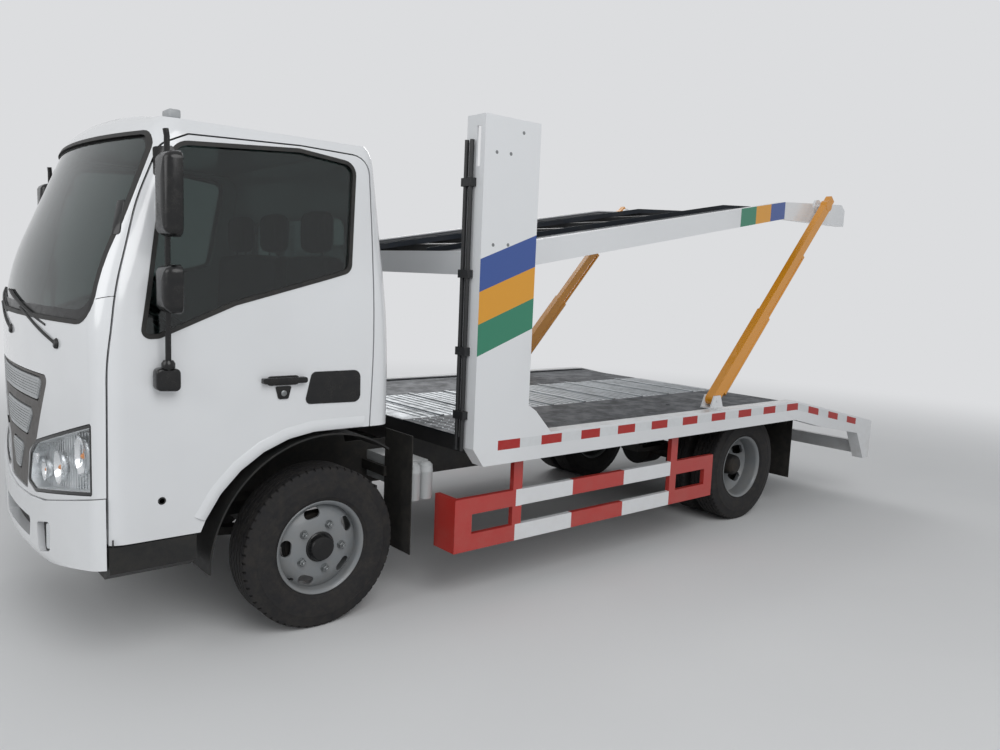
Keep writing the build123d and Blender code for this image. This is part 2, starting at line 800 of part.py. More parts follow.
ram_side = 1 if arm_plane.y_dir.Z < 0 else -1
arm_bore = arm_width - 2 * arm_wall
arm_bore_height = arm_height - 2 * arm_wall
ram_start = 100
ram_end = sleeve_length
ram_rod_start = 665
ram_lug = 1400
with BuildPart() as arm_sleeve:
    arm_bar(0, sleeve_length, arm_height, arm_width)
    cross_tube(arm_base_x, arm_base_z, 38, arm_y - arm_width / 2, arm_y + arm_width / 2)
    arm_bar(60, sleeve_length + 1, arm_bore_height, arm_bore, mode=Mode.SUBTRACT)
    cross_tube(
        arm_base_x, arm_base_z, arm_pin_radius + running_gap,
        arm_y - arm_width / 2 - 1, arm_y + arm_width / 2 + 1, Mode.SUBTRACT,
    )
    arm_tube(ram_start, ram_end, ram_radius)
    for start in (ram_start, ram_end - 60):
        arm_bar(start, start + 50, ram_offset - arm_height / 2, 24, ram_side * (ram_offset + arm_height / 2) / 2)
    arm_tube(ram_start + 20, ram_end + 1, ram_rod_radius + running_gap, Mode.SUBTRACT)
    arm_bar(60, sleeve_length + 1, arm_bore_height, arm_bore, mode=Mode.SUBTRACT)

with BuildPart() as arm_rod:
    arm_bar(arm_rod_start, arm_length, arm_bore_height - 2 * running_gap, arm_bore - 2 * running_gap)
    cross_tube(arm_eye_x, arm_eye_z, arm_eye_radius, arm_y - 26, arm_y + 26)
    arm_bar(arm_length, arm_length + arm_tip, 56, 46)
    arm_tube(ram_rod_start, ram_lug, ram_rod_radius)
    arm_bar(ram_lug - 30, ram_lug, ram_offset, 24, ram_side * ram_offset / 2)

for side_name, side in sides:
    for piece, name in ((arm_sleeve, "arm_sleeve"), (arm_rod, "arm_rod")):
        keep(piece if side == 1 else mirrored(piece), f"{name}_{side_name}")


# Side guards hung below the deck
guard_inner_y = guard_outer_y - guard_thickness
with BuildPart() as side_guards:
    block((guard_rear_x, guard_inner_y, guard_bottom_z), (guard_front_x, guard_outer_y, guard_top_z))
    block(
        (guard_rear_x + guard_bar, guard_inner_y - 1, guard_bottom_z + guard_bar),
        (guard_front_x - 110, guard_outer_y + 1, guard_top_z - guard_bar),
        Mode.SUBTRACT,
    )
    block((guard_front_x - 30, 885, guard_bottom_z), (guard_front_x, guard_outer_y, guard_top_z))
    for x in (830, -500):
        block((x - 32, guard_inner_y, guard_bottom_z), (x + 32, guard_outer_y, deck_rail_bottom_z))
    mirror(about=Plane.XZ)
keep(side_guards, "side_guards")


# Cab

def cab_plan(z, front_x, half_width, rear_x, inset):
    """Rounded plan of the cab at one height, drawn in from the skin."""
    full_radius = (cab_corner_reach ** 2 + cab_corner_sweep ** 2) / (2 * cab_corner_sweep)
    full_turn = asin(cab_corner_reach / full_radius)
    radius = full_radius - inset
    turn_x = front_x - cab_front_bow - cab_corner_reach
    turn_y = half_width - full_radius
    side_y = half_width - inset
    rear = rear_x + inset
    middle = (turn_x + radius * sin(full_turn / 2), turn_y + radius * cos(full_turn / 2))
    end_x = turn_x + radius * cab_corner_reach / full_radius
    end_y = turn_y + radius * (full_radius - cab_corner_sweep) / full_radius
    with BuildSketch(Plane.XY.offset(z)) as plan:
        with BuildLine():
            Line((rear, -side_y), (rear, side_y))
            Line((rear, side_y), (turn_x, side_y))
            ThreePointArc((turn_x, side_y), middle, (end_x, end_y))
            ThreePointArc((end_x, end_y), (front_x - inset, 0), (end_x, -end_y))
            ThreePointArc((end_x, -end_y), (middle[0], -middle[1]), (turn_x, -side_y))
            Line((turn_x, -side_y), (rear, -side_y))
        make_face()
        fillet(plan.vertices().group_by(Axis.X)[0], radius=max(cab_rear_radius - inset, 6))
    return plan.sketch


cab_top_level = 2400
cab_levels = [
    # height, front x at the centre line, half width, rear x
    (400, cab_front_x, cab_half_width, cab_rear_x),
    (belt_z, cab_front_x - 15, cab_half_width, cab_rear_x),
    (
        cab_top_level,
        cab_front_x - 15 - (cab_top_level - belt_z) * tan(radians(windscreen_lean)),
        cab_half_width - (cab_top_level - belt_z) * tan(radians(side_lean)),
        cab_rear_x + (cab_top_level - belt_z) * tan(radians(rear_lean)),
    ),
]


def cab_tube(inset):
    """Upright tube of the cab's plan, leaning in above the belt line."""
    with BuildPart() as tube:
        loft([cab_plan(*level, inset) for level in cab_levels], ruled=True)
    return tube.part


def cab_side(inset):
    """Side view of the cab: stepped floor, wheel arch and domed roof."""
    with BuildSketch(Plane.XZ) as view:
        with BuildLine():
            Polyline(
                (1400, 2160), (1400, 965), (1680, 965), (2040, 956), (2271, 859), (2486, cab_floor_z),
                (door_front_x, cab_floor_z), (door_front_x, cab_nose_z), (3150, cab_nose_z), (3150, 2100), (2790, 2100),
            )
            ThreePointArc((2790, 2100), (2700, 2210), (2480, 2302))
            ThreePointArc((2480, 2302), (2150, roof_z), (1780, 2306))
            ThreePointArc((1780, 2306), (1640, 2262), (1560, 2160))
            Line((1560, 2160), (1400, 2160))
        make_face()
        if inset:
            offset(amount=-inset)
    return view.sketch


def cab_front(inset):
    """Front view of the cab: upright sides, rounded shoulders and a slight crown."""
    with BuildSketch(Plane.YZ) as view:
        with BuildLine():
            Polyline((-850, 2160), (-1100, 2160), (-1100, 300), (1100, 300), (1100, 2160), (850, 2160))
            ThreePointArc((850, 2160), (785, 2262), (640, 2312))
            ThreePointArc((640, 2312), (0, roof_z + 2), (-640, 2312))
            ThreePointArc((-640, 2312), (-785, 2262), (-850, 2160))
        make_face()
        if inset:
            offset(amount=-inset)
    return view.sketch


def cab_form(inset):
    """Whole cab volume, drawn in from its skin by an inset."""
    with BuildPart() as form:
        add(cab_tube(inset))
        extrude(cab_side(inset), amount=1500, both=True, mode=Mode.INTERSECT)
        extrude(cab_front(inset), amount=3500, both=True, mode=Mode.INTERSECT)
    return form.part


door_outline = [
    (door_front_x, 500), (door_front_x - 10, 1090), (2794, 1546), (2718, 1906), (2600, 2180), (2530, 2212),
    (1790, 2222), (1712, 2176), (door_rear_x, 2090), (door_rear_x, 500),
]
window_outline = [
    (2690, 1560), (2712, 1440), (2672, 1408), (2584, 1408), (1850, 1664), (1800, 1700), (1758, 1800),
    (1736, 2090), (1790, 2168), (2000, 2190), (2500, 2182), (2590, 2100), (2650, 1900),
]
windscreen_outline = [
    (-700, 2170), (-770, 2090), (-808, 1530), (-780, 1462), (780, 1462), (808, 1530), (770, 2090), (700, 2170),
]
rear_window_outline = [(-560, 1500), (560, 1500), (560, 1950), (-560, 1950)]
grille_outline = [(-585, 1215), (-400, 800), (400, 800), (585, 1215)]
lamp_outline = [(862, 1034), (862, 795), (470, 795), (452, 850), (476, 905)]

cab_skin = cab_form(0)
cab_room = cab_form(cab_wall)
outer_tube = cab_tube(0)
wall_tube = cab_tube(cab_wall)
tunnel_half = 430
tunnel_top_z = 760


def widened(plane, points, amount):
    """Outline grown or shrunk all round."""
    with BuildSketch(plane) as flat:
        with BuildLine():
            Polyline(*points, close=True)
        make_face()
        if amount:
            offset(amount=amount)
    return flat.sketch


with BuildPart() as door_left:
    add(cab_skin)
    add(wall_tube, mode=Mode.SUBTRACT)
    extrude(widened(Plane.XZ.offset(-1100), door_outline, 0), amount=500, mode=Mode.INTERSECT)
    extrude(widened(Plane.XZ.offset(-1100), window_outline, 0), amount=500, mode=Mode.SUBTRACT)
    with BuildPart(mode=Mode.PRIVATE) as rebate:
        extrude(widened(Plane.XZ.offset(-1100), door_outline, 0), amount=500)
        extrude(widened(Plane.XZ.offset(-1100), door_outline, -door_rebate), amount=500, mode=Mode.SUBTRACT)
        add(cab_tube(door_lip), mode=Mode.INTERSECT)
    add(rebate.part, mode=Mode.SUBTRACT)
    hinge_x = door_front_x - hinge_back
    hinge_y = cab_half_width - hinge_in
    with BuildSketch(Plane.XY.offset(cab_floor_z)) as hinge_hole:
        with Locations((hinge_x, hinge_y)):
            Circle(hinge_pin_radius + running_gap)
    extrude(hinge_hole.sketch, amount=40, mode=Mode.SUBTRACT)
keep(door_left, "door_left")
keep(mirrored(door_left), "door_right")

glass_outer = cab_tube(glass_depth)
glass_inner = cab_tube(glass_depth + glass_thickness)
with BuildPart() as door_glass_left:
    add(glass_outer)
    add(glass_inner, mode=Mode.SUBTRACT)
    extrude(widened(Plane.XZ.offset(-1100), window_outline, 0), amount=500, mode=Mode.INTERSECT)
keep(door_glass_left, "door_glass_left")
keep(mirrored(door_glass_left), "door_glass_right")

with BuildPart() as cab_glass:
    add(glass_outer)
    add(glass_inner, mode=Mode.SUBTRACT)
    with BuildPart(mode=Mode.PRIVATE) as panes:
        extrude(widened(Plane.YZ.offset(2500), windscreen_outline, 0), amount=600)
        extrude(widened(Plane.YZ.offset(1500), rear_window_outline, 0), amount=200)
    add(panes.part, mode=Mode.INTERSECT)
keep(cab_glass, "cab_glass")

with BuildPart() as cab_shell:
    add(cab_skin)
    block((2300, -tunnel_half, 500), (door_front_x + 1, tunnel_half, tunnel_top_z), Mode.SUBTRACT)
    with BuildPart(mode=Mode.PRIVATE) as room:
        add(cab_room)
        block(
            (2300 - cab_wall, -tunnel_half - cab_wall, 400),
            (door_front_x + cab_wall, tunnel_half + cab_wall, tunnel_top_z + cab_wall),
            Mode.SUBTRACT,
        )
    add(room.part, mode=Mode.SUBTRACT)
    with BuildPart(mode=Mode.PRIVATE) as door_hole:
        add(outer_tube)
        add(cab_tube(cab_wall + swing_gap), mode=Mode.SUBTRACT)
        extrude(widened(Plane.XZ.offset(-1100), door_outline, door_gap), amount=500, mode=Mode.INTERSECT)
    add(door_hole.part, mode=Mode.SUBTRACT)
    mirror(door_hole.part, about=Plane.XZ, mode=Mode.SUBTRACT)
    extrude(widened(Plane.YZ.offset(2500), windscreen_outline, 0), amount=600, mode=Mode.SUBTRACT)
    extrude(widened(Plane.YZ.offset(1500), rear_window_outline, 0), amount=200, mode=Mode.SUBTRACT)
    extrude(widened(Plane.YZ.offset(2780), grille_outline, 0), amount=300, mode=Mode.SUBTRACT)
    lamp_hole = extrude(widened(Plane.YZ.offset(2780), lamp_outline, 0), amount=300, mode=Mode.SUBTRACT)
    mirror(lamp_hole, about=Plane.XZ, mode=Mode.SUBTRACT)
keep(cab_shell, "cab_shell")

slat_table = [
    # lower edge, upper edge
    (828, 930),
    (958, 1060),
    (1088, 1190),
]
with BuildPart() as grille:
    add(cab_tube(8))
    add(cab_tube(cab_wall - 4), mode=Mode.SUBTRACT)
    extrude(widened(Plane.YZ.offset(2780), grille_outline, 0), amount=300, mode=Mode.INTERSECT)
    for low_z, high_z in slat_table:
        with BuildPart(mode=Mode.PRIVATE) as recess:
            add(cab_tube(8))
            add(cab_tube(22), mode=Mode.SUBTRACT)
            extrude(widened(Plane.YZ.offset(2780), grille_outline, -22), amount=300, mode=Mode.INTERSECT)
            block((2700, -700, low_z), (3100, 700, high_z), Mode.INTERSECT)
        add(recess.part, mode=Mode.SUBTRACT)
keep(grille, "grille")

with BuildPart() as grille_slats:
    for low_z, high_z in slat_table:
        with BuildPart(mode=Mode.PRIVATE) as slat:
            add(cab_tube(0))
            add(cab_tube(22), mode=Mode.SUBTRACT)
            extrude(widened(Plane.YZ.offset(2780), grille_outline, -34), amount=300, mode=Mode.INTERSECT)
            block((2700, -700, low_z + 8), (3100, 700, high_z - 8), Mode.INTERSECT)
        add(slat.part)
keep(grille_slats, "grille_slats")

with BuildPart() as headlamps:
    add(cab_tube(3))
    add(cab_tube(cab_wall - 4), mode=Mode.SUBTRACT)
    with BuildPart(mode=Mode.PRIVATE) as lamp_blocks:
        lamp_block = extrude(widened(Plane.YZ.offset(2780), lamp_outline, 0), amount=300)
        mirror(lamp_block, about=Plane.XZ)
    add(lamp_blocks.part, mode=Mode.INTERSECT)
keep(headlamps, "headlamps")


def bumper_plan(z, inset):
    """Rounded plan of the bumper."""
    return cab_plan(z, nose_x, cab_half_width + 4, bumper_rear_x - 400, inset)


with BuildPart() as bumper:
    loft([bumper_plan(395, 40), bumper_plan(450, 0), bumper_plan(cab_nose_z - running_gap, 0)], ruled=True)
    loft([bumper_plan(380, 85), bumper_plan(450, 45), bumper_plan(800, 45)], ruled=True, mode=Mode.SUBTRACT)
    block((2000, -1200, 300), (bumper_rear_x, 1200, 900), Mode.SUBTRACT)
    side_cut = [(bumper_rear_x - 10, 300), (bumper_rear_x - 10, 485), (2990, 385), (3100, 300)]
    side_slab(side_cut, 700, 1200, Mode.SUBTRACT)
    side_slab(side_cut, -1200, -700, Mode.SUBTRACT)
    air_slot = [(-430, 520), (-380, 640), (380, 640), (430, 520)]
    front_slab(air_slot, 2850, 3100, Mode.SUBTRACT)
    for side in (1, -1):
        fog_slot = [(side * 610, 640), (side * 760, 660), (side * 760, 520), (side * 640, 500)]
        front_slab(fog_slot, 2965, 3100, Mode.SUBTRACT)
keep(bumper, "bumper")

with BuildPart() as cab_sills:
    sill_section = [
        (640, cab_floor_z), (cab_half_width - cab_wall - 14, cab_floor_z),
        (cab_half_width - cab_wall - 14, cab_floor_z - 6), (cab_half_width - 2, cab_floor_z - 6),
        (cab_half_width - 6, 470), (860, 430), (640, 430),
    ]
    front_slab(sill_section, 2500, bumper_rear_x - 8)
    with BuildSketch(Plane.XY.offset(cab_floor_z - 20)) as hinge_pin:
        with Locations((hinge_x, hinge_y)):
            Circle(hinge_pin_radius)
    extrude(hinge_pin.sketch, amount=45)
    mirror(about=Plane.XZ)
keep(cab_sills, "cab_sills")

liner_radius = 552
liner_wall = 8
with BuildPart() as arch_liners:
    with BuildSketch(Plane.XZ.offset(-cab_half_width + 4)) as liner:
        with Locations((front_axle_x, wheel_z)):
            Circle(liner_radius + liner_wall)
            Circle(liner_radius, mode=Mode.SUBTRACT)
        with Locations((front_axle_x, wheel_z)):
            Rectangle(1400, 1400, align=(Align.CENTER, Align.MAX), mode=Mode.SUBTRACT)
        with Locations((front_axle_x - 320, wheel_z)):
            Rectangle(1400, 1400, align=(Align.MAX, Align.CENTER), mode=Mode.SUBTRACT)
    extrude(liner.sketch, amount=300)
    block((1860, 640, wheel_z + liner_radius), (1915, 870, 958.8))
    mirror(about=Plane.XZ)
keep(arch_liners, "arch_liners")

with BuildPart() as cab_hinges:
    lug = [
        (pivot_x - 38, tunnel_top_z), (pivot_x + 38, tunnel_top_z), (pivot_x + 30, pivot_z - 20),
        (pivot_x, pivot_z - 38), (pivot_x - 30, pivot_z - 20),
    ]
    side_slab(lug, 385, 415)
    cross_tube(pivot_x, pivot_z, pivot_radius + running_gap, 380, 420, Mode.SUBTRACT)
    mirror(about=Plane.XZ)
keep(cab_hinges, "cab_hinges")

dash_outline = [
    (2900, 1010), (2900, 1370), (2700, 1400), (2560, 1370), (2540, 1260), (2620, 1180), (2640, 1010),
]
wheel_centre = (2420, 450, 1400)
wheel_tilt = 35
column_radius = 26
column_length = 230
lean = radians(wheel_tilt)
column_plane = Plane(wheel_centre, x_dir=(0, 1, 0), z_dir=(sin(lean), 0, -cos(lean)))
with BuildPart() as dashboard:
    side_slab(dash_outline, -840, 840)
    add(cab_tube(cab_wall + running_gap), mode=Mode.INTERSECT)
    with BuildSketch(column_plane) as column_hole:
        Circle(column_radius + running_gap)
    extrude(column_hole.sketch, amount=column_length + 1, mode=Mode.SUBTRACT)
keep(dashboard, "dashboard")

with BuildPart() as steering_wheel:
    hub_plane = Plane(wheel_centre, x_dir=(0, 1, 0), z_dir=(-sin(lean), 0, cos(lean)))
    with Locations(hub_plane.location):
        Torus(205, 14)
        Cylinder(46, 40)
    with BuildSketch(hub_plane.offset(-8)):
        with PolarLocations(100, 3, start_angle=90):
            Rectangle(190, 30)
    extrude(amount=16)
    with BuildSketch(column_plane):
        Circle(column_radius)
    extrude(amount=column_length)
keep(steering_wheel, "steering_wheel")

seat_table = [
    # near side, far side
    (220, 700),
    (-700, 180),
]
seat_floor_z = 965 + cab_wall + running_gap
seat_outline = [
    (1665, seat_floor_z), (2150, seat_floor_z), (2200, 1150), (2160, 1180), (1880, 1160), (1780, 1760),
    (1760, 1980), (1680, 1990), (1665, 1760),
]
with BuildPart() as seats:
    for y_low, y_high in seat_table:
        side_slab(seat_outline, y_low, y_high)
keep(seats, "seats")

# Mirror arm and heads, carried on the door below its window
mirror_pole_y = 985
mirror_x = 2660
with BuildPart() as mirror_left:
    block((2570, cab_half_width, 1180), (2680, 955, 1290))
    foot_z = 1240
    with BuildSketch(Plane.XZ.offset(-955)) as foot:
        with Locations((2625, foot_z)):
            RectangleRounded(90, 90, 20)
    extrude(foot.sketch, amount=-46)
    with BuildSketch(Plane.XY.offset(foot_z)) as pole:
        with Locations((2625, mirror_pole_y)):
            Circle(13)
    extrude(pole.sketch, amount=960)
    for low_z, high_z in ((1790, 2110), (1500, 1690)):
        with BuildSketch(Plane.XY.offset(low_z)) as head:
            with Locations((2640, 1040)):
                RectangleRounded(70, 150, 25)
        extrude(head.sketch, amount=high_z - low_z)
keep(mirror_left, "mirror_left")
keep(mirrored(mirror_left), "mirror_right")

print("arm length", round(arm_length, 1), "arm angle", round(degrees(atan2(arm_rise, arm_run)), 2))
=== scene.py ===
"""Dresses the two-deck car carrier truck: enamels, plates, rubber and glass, with its trim and fittings.

Metres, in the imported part's own frame: +X points forward, +Y to the left, +Z up.
"""

import json
import logging
import math
from collections.abc import Iterator
from contextlib import contextmanager
from dataclasses import dataclass
from enum import Enum

import bpy
from mathutils import Matrix, Vector


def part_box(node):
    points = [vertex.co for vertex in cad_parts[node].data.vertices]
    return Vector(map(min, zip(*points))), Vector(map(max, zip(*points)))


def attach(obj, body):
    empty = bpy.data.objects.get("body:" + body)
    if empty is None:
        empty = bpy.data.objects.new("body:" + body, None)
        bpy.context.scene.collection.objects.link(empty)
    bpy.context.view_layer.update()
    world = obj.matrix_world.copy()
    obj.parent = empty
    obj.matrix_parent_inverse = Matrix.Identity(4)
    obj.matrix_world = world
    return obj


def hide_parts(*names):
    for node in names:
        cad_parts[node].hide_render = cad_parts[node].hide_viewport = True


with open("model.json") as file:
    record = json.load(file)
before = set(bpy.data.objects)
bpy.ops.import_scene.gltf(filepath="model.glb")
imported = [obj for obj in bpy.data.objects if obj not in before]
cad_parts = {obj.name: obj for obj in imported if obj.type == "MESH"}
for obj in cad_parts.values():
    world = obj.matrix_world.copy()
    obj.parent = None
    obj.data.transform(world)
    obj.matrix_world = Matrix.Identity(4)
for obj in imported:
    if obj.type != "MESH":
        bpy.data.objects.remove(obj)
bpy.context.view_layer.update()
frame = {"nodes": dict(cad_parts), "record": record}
log = logging.getLogger("car_carrier")

# Short names for types: a piece of the model, a material with its tree and sockets, and outlines
Piece = bpy.types.Object
Material = bpy.types.Material
Tree = bpy.types.NodeTree
Socket = bpy.types.NodeSocket
Value = Socket | float | tuple
Colour = tuple[float, float, float, float]
Flat = list[tuple[float, float]]
Corner = tuple[float, float, float]
Corners = list[Corner]


class Side(Enum):
    """The truck's two sides, by the sign of Y."""

    LEFT = 1
    RIGHT = -1

    @property
    def tag(self) -> str:
        """The side's word in a node's name."""
        return self.name.lower()


# Shader helpers


def linear(code: str) -> Colour:
    """Turns an sRGB hex colour to linear light.

    Args:
        code: A colour such as "#d8901c".

    Returns:
        Red, green, blue and an alpha of 1, as Blender's sockets want them.
    """
    channels = [int(code[i : i + 2], 16) / 255 for i in (1, 3, 5)]
    light = [c / 12.92 if c <= 0.04045 else ((c + 0.055) / 1.055) ** 2.4 for c in channels]
    return (*light, 1.0)


def feed(tree: Tree, node: bpy.types.Node, inputs: dict) -> None:
    """Fills a node's sockets.

    Args:
        tree: The node's tree.
        node: The node.
        inputs: A value or an output socket for each input, by the input's name or number.
    """
    for key, value in inputs.items():
        if isinstance(value, Socket):
            tree.links.new(value, node.inputs[key])
        else:
            node.inputs[key].default_value = value


def add_node(tree: Tree, kind: str, inputs: dict | None = None, **settings: object) -> bpy.types.Node:
    """Adds a shader node with its settings, values and links.

    Args:
        tree: The tree that takes the node.
        kind: The node's type, without its "ShaderNode" prefix.
        inputs: A value or an output socket for each input, by the input's name or number.
        **settings: The node's own properties.

    Returns:
        The new node.
    """
    node = tree.nodes.new("ShaderNode" + kind)
    for name, value in settings.items():
        setattr(node, name, value)
    feed(tree, node, inputs or {})
    return node


def maths(tree: Tree, operation: str, *values: Value) -> Socket:
    """Works one sum on values or sockets.

    Args:
        tree: The material's tree.
        operation: The Math node's operation.
        *values: Its operands.

    Returns:
        The result's socket.
    """
    return add_node(tree, "Math", dict(enumerate(values)), operation=operation).outputs[0]


def mixed(tree: Tree, share: Value, first: Value, second: Value) -> Socket:
    """Mixes two colours.

    Args:
        tree: The material's tree.
        share: How much of the second colour shows, 0 to 1.
        first: The colour below.
        second: The colour above.

    Returns:
        The mixed colour's socket.
    """
    return add_node(tree, "Mix", {0: share, 6: first, 7: second}, data_type="RGBA").outputs[2]


def ramped(
    tree: Tree, value: Value, low: float, high: float, ends: tuple[float, float] = (0.0, 1.0)
) -> Socket:
    """Maps a value's range to another one smoothly.

    Args:
        tree: The material's tree.
        value: What is mapped.
        low: Where the first end is reached.
        high: Where the second end is reached.
        ends: The results at low and at high.

    Returns:
        The mapped value's socket.
    """
    inputs = {0: value, 1: low, 2: high, 3: ends[0], 4: ends[1]}
    return add_node(tree, "MapRange", inputs, interpolation_type="SMOOTHSTEP").outputs[0]


def noise(tree: Tree, place: Socket, size: float, detail: float, rough: float = 0.5) -> Socket:
    """Adds drifting noise.

    Args:
        tree: The material's tree.
        place: The coordinates.
        size: The patches' size in metres.
        detail: How many finer octaves it has.
        rough: How strong those are.

    Returns:
        The noise's socket, 0 to 1.
    """
    inputs = {"Vector": place, "Scale": 1 / size, "Detail": detail, "Roughness": rough}
    return add_node(tree, "TexNoise", inputs).outputs["Fac"]


def relief(tree: Tree, height: Value, strength: float, depth: float) -> Socket:
    """Gives the normals of a fine relief, with its depth in metres."""
    return add_node(tree, "Bump", {"Height": height, "Strength": strength, "Distance": depth}).outputs[0]


def split(tree: Tree, vector: Socket, axis: str) -> Socket:
    """Gives one axis of a vector."""
    return add_node(tree, "SeparateXYZ", {0: vector}).outputs[axis]


def dimmed(code: str, share: float) -> Colour:
    """Turns an sRGB hex colour to linear light and dims it."""
    return (*(channel * share for channel in linear(code)[:3]), 1.0)


def start_material(name: str) -> tuple[Material, Tree, Socket]:
    """Starts a node material with a Principled shader.

    Args:
        name: The finish's name.

    Returns:
        The material, its tree and the Object coordinates.
    """
    material = bpy.data.materials.new(name)
    material.use_nodes = True
    tree = material.node_tree
    return material, tree, add_node(tree, "TexCoord").outputs["Object"]


def set_shader(tree: Tree, **sockets: Value) -> None:
    """Fills the Principled shader's sockets, each named in lower case with underscores."""
    shader = tree.nodes["Principled BSDF"]
    names = {socket.name.lower().replace(" ", "_"): socket.name for socket in shader.inputs}
    feed(tree, shader, {names[key]: value for key, value in sockets.items()})


# Finishes


@dataclass(frozen=True)
class Finish:
    """What every finish has: a name, a colour and a node material, which its own shade method fills."""

    name: str
    colour: str

    def material(self) -> Material:
        """Builds the node material."""
        material, tree, place = start_material(self.name)
        self.shade(tree, place)
        return material


@dataclass(frozen=True)
class Enamel(Finish):
    """Sprayed enamel: an even gloss with a faint orange-peel skin, and dust on what faces up or sits low."""

    roughness: float = 0.3
    coat: float = 0.5
    peel: float = 0.005
    dust: float = 0.25
    dust_colour: str = "#9c9080"
    splash_top: float = 0.9
    splash_full: float = 0.25

    def base(self, tree: Tree, place: Socket) -> Socket:
        """Gives the paint's own colour, with a slight drift from panel to panel."""
        drift = ramped(tree, noise(tree, place, 1 / 1.3, 3.0), 0.35, 0.7)
        return mixed(tree, drift, linear(self.colour), dimmed(self.colour, 0.94))

    def shade(self, tree: Tree, place: Socket) -> None:
        """Fills the shader."""
        facing = split(tree, add_node(tree, "NewGeometry").outputs["Normal"], "Z")
        speck = ramped(tree, noise(tree, place, 1 / 11, 8.0, 0.7), 0.30, 0.78)
        upward = ramped(tree, facing, 0.5, 1.0, (0.0, 0.8))
        splash = ramped(tree, split(tree, place, "Z"), self.splash_top, self.splash_full)
        spread = maths(tree, "MULTIPLY", maths(tree, "MAXIMUM", upward, splash), speck)
        veil = maths(tree, "MULTIPLY", spread, self.dust)
        set_shader(
            tree,
            base_color=mixed(tree, veil, self.base(tree, place), linear(self.dust_colour)),
            roughness=maths(tree, "ADD", maths(tree, "MULTIPLY", veil, 0.9), self.roughness),
            coat_weight=self.coat,
            coat_roughness=0.08,
            normal=relief(tree, noise(tree, place, self.peel, 1.0), 0.06, 0.001),
        )


@dataclass(frozen=True)
class BandedEnamel(Enamel):
    """Enamel with masked bands: each begins where the point's distance along a direction passes its edge.

    The bands keep to faces further out than the outside value and, where levels are given as middle
    and half height, to those heights.
    """

    direction: tuple[float, float, float] = (1.0, 0.0, 0.0)
    edges: tuple[float, ...] = ()
    colours: tuple[str, ...] = ()
    outside: float = 0.0
    levels: tuple[tuple[float, float], ...] = ()

    def base(self, tree: Tree, place: Socket) -> Socket:
        """Gives the ground colour with its bands."""
        ground = super().base(tree, place)
        dot = add_node(tree, "VectorMath", {0: place, 1: self.direction}, operation="DOT_PRODUCT")
        along, colour = dot.outputs["Value"], ground
        for edge, code in zip(self.edges, self.colours):
            past = maths(tree, "GREATER_THAN", along, edge)
            colour = mixed(tree, past, colour, linear(code) if code else ground)
        reach = maths(tree, "ABSOLUTE", split(tree, place, "Y"))
        outer = maths(tree, "GREATER_THAN", reach, self.outside)
        if self.levels:
            height, inside = split(tree, place, "Z"), 0.0
            for middle, half in self.levels:
                inside = maths(tree, "MAXIMUM", maths(tree, "COMPARE", height, middle, half), inside)
            outer = maths(tree, "MULTIPLY", outer, inside)
        return mixed(tree, outer, ground, colour)


@dataclass(frozen=True)
class BareMetal(Finish):
    """Rolled or cast metal left bare: a satin sheen with rolling streaks and grime in patches."""

    roughness: float = 0.35
    metallic: float = 1.0
    streak: float = 0.004
    grime: float = 0.4
    grime_colour: str = "#3a3630"

    def shade(self, tree: Tree, place: Socket) -> None:
        """Fills the shader."""
        stretched = add_node(tree, "Mapping", {"Vector": place, "Scale": (0.08, 1.0, 1.0)}).outputs[0]
        patch = noise(tree, place, 1 / 7, 6.0, 0.7)
        soil = ramped(tree, patch, 0.4, 0.75, (0.0, self.grime))
        set_shader(
            tree,
            base_color=mixed(tree, soil, linear(self.colour), linear(self.grime_colour)),
            roughness=ramped(tree, patch, 0.35, 0.75, (self.roughness, self.roughness + 0.3)),
            metallic=ramped(tree, patch, 0.45, 0.8, (self.metallic, self.metallic * 0.55)),
            normal=relief(tree, noise(tree, stretched, self.streak, 3.0), 0.12, 0.001),
        )


@dataclass(frozen=True)
class Moulded(Finish):
    """Moulded plastic or rubber: fine grain, a dull gloss, and pale dust in the grain."""

    roughness: float = 0.55
    grain: float = 0.002
    relief: float = 0.25
    dust: float = 0.25
    dust_colour: str = "#8d8578"

    def shade(self, tree: Tree, place: Socket) -> None:
        """Fills the shader."""
        cells = add_node(tree, "TexVoronoi", {"Vector": place, "Scale": 1 / self.grain}).outputs["Distance"]
        cloud = noise(tree, place, 1 / 22, 8.0, 0.75)
        veil = ramped(tree, cloud, 0.30, 0.85, (0.0, self.dust))
        set_shader(
            tree,
            base_color=mixed(tree, veil, linear(self.colour), linear(self.dust_colour)),
            roughness=ramped(tree, cloud, 0.3, 0.8, (self.roughness, min(1.0, self.roughness + 0.2))),
            specular_ior_level=0.4,
            normal=relief(tree, cells, self.relief, 0.0006),
        )


@dataclass(frozen=True)
class SafetyGlass(Finish):
    """Float glass, tinted in the melt: clear and smooth, with a film of dust."""

    roughness: float = 0.02
    film: float = 0.06

    def shade(self, tree: Tree, place: Socket) -> None:
        """Fills the shader."""
        cloud = noise(tree, place, 1 / 4, 6.0)
        veil = ramped(tree, cloud, 0.3, 0.8, (0.0, 0.15))
        set_shader(
            tree,
            base_color=mixed(tree, veil, linear(self.colour), linear("#8f9490")),
            roughness=ramped(tree, cloud, 0.4, 0.8, (self.roughness, self.roughness + self.film)),
            transmission_weight=1.0,
            ior=1.5,
        )


@dataclass(frozen=True)
class LampCover(Finish):
    """Clear polycarbonate cover: glossy outside, see-through, with a faint haze of dust."""

    haze: float = 0.05

    def shade(self, tree: Tree, place: Socket) -> None:
        """Fills the shader."""
        cover = ramped(tree, noise(tree, place, 1 / 12, 5.0), 0.35, 0.8, (self.haze, self.haze + 0.05))
        set_shader(tree, base_color=linear(self.colour), roughness=0.05, ior=1.58, alpha=cover)


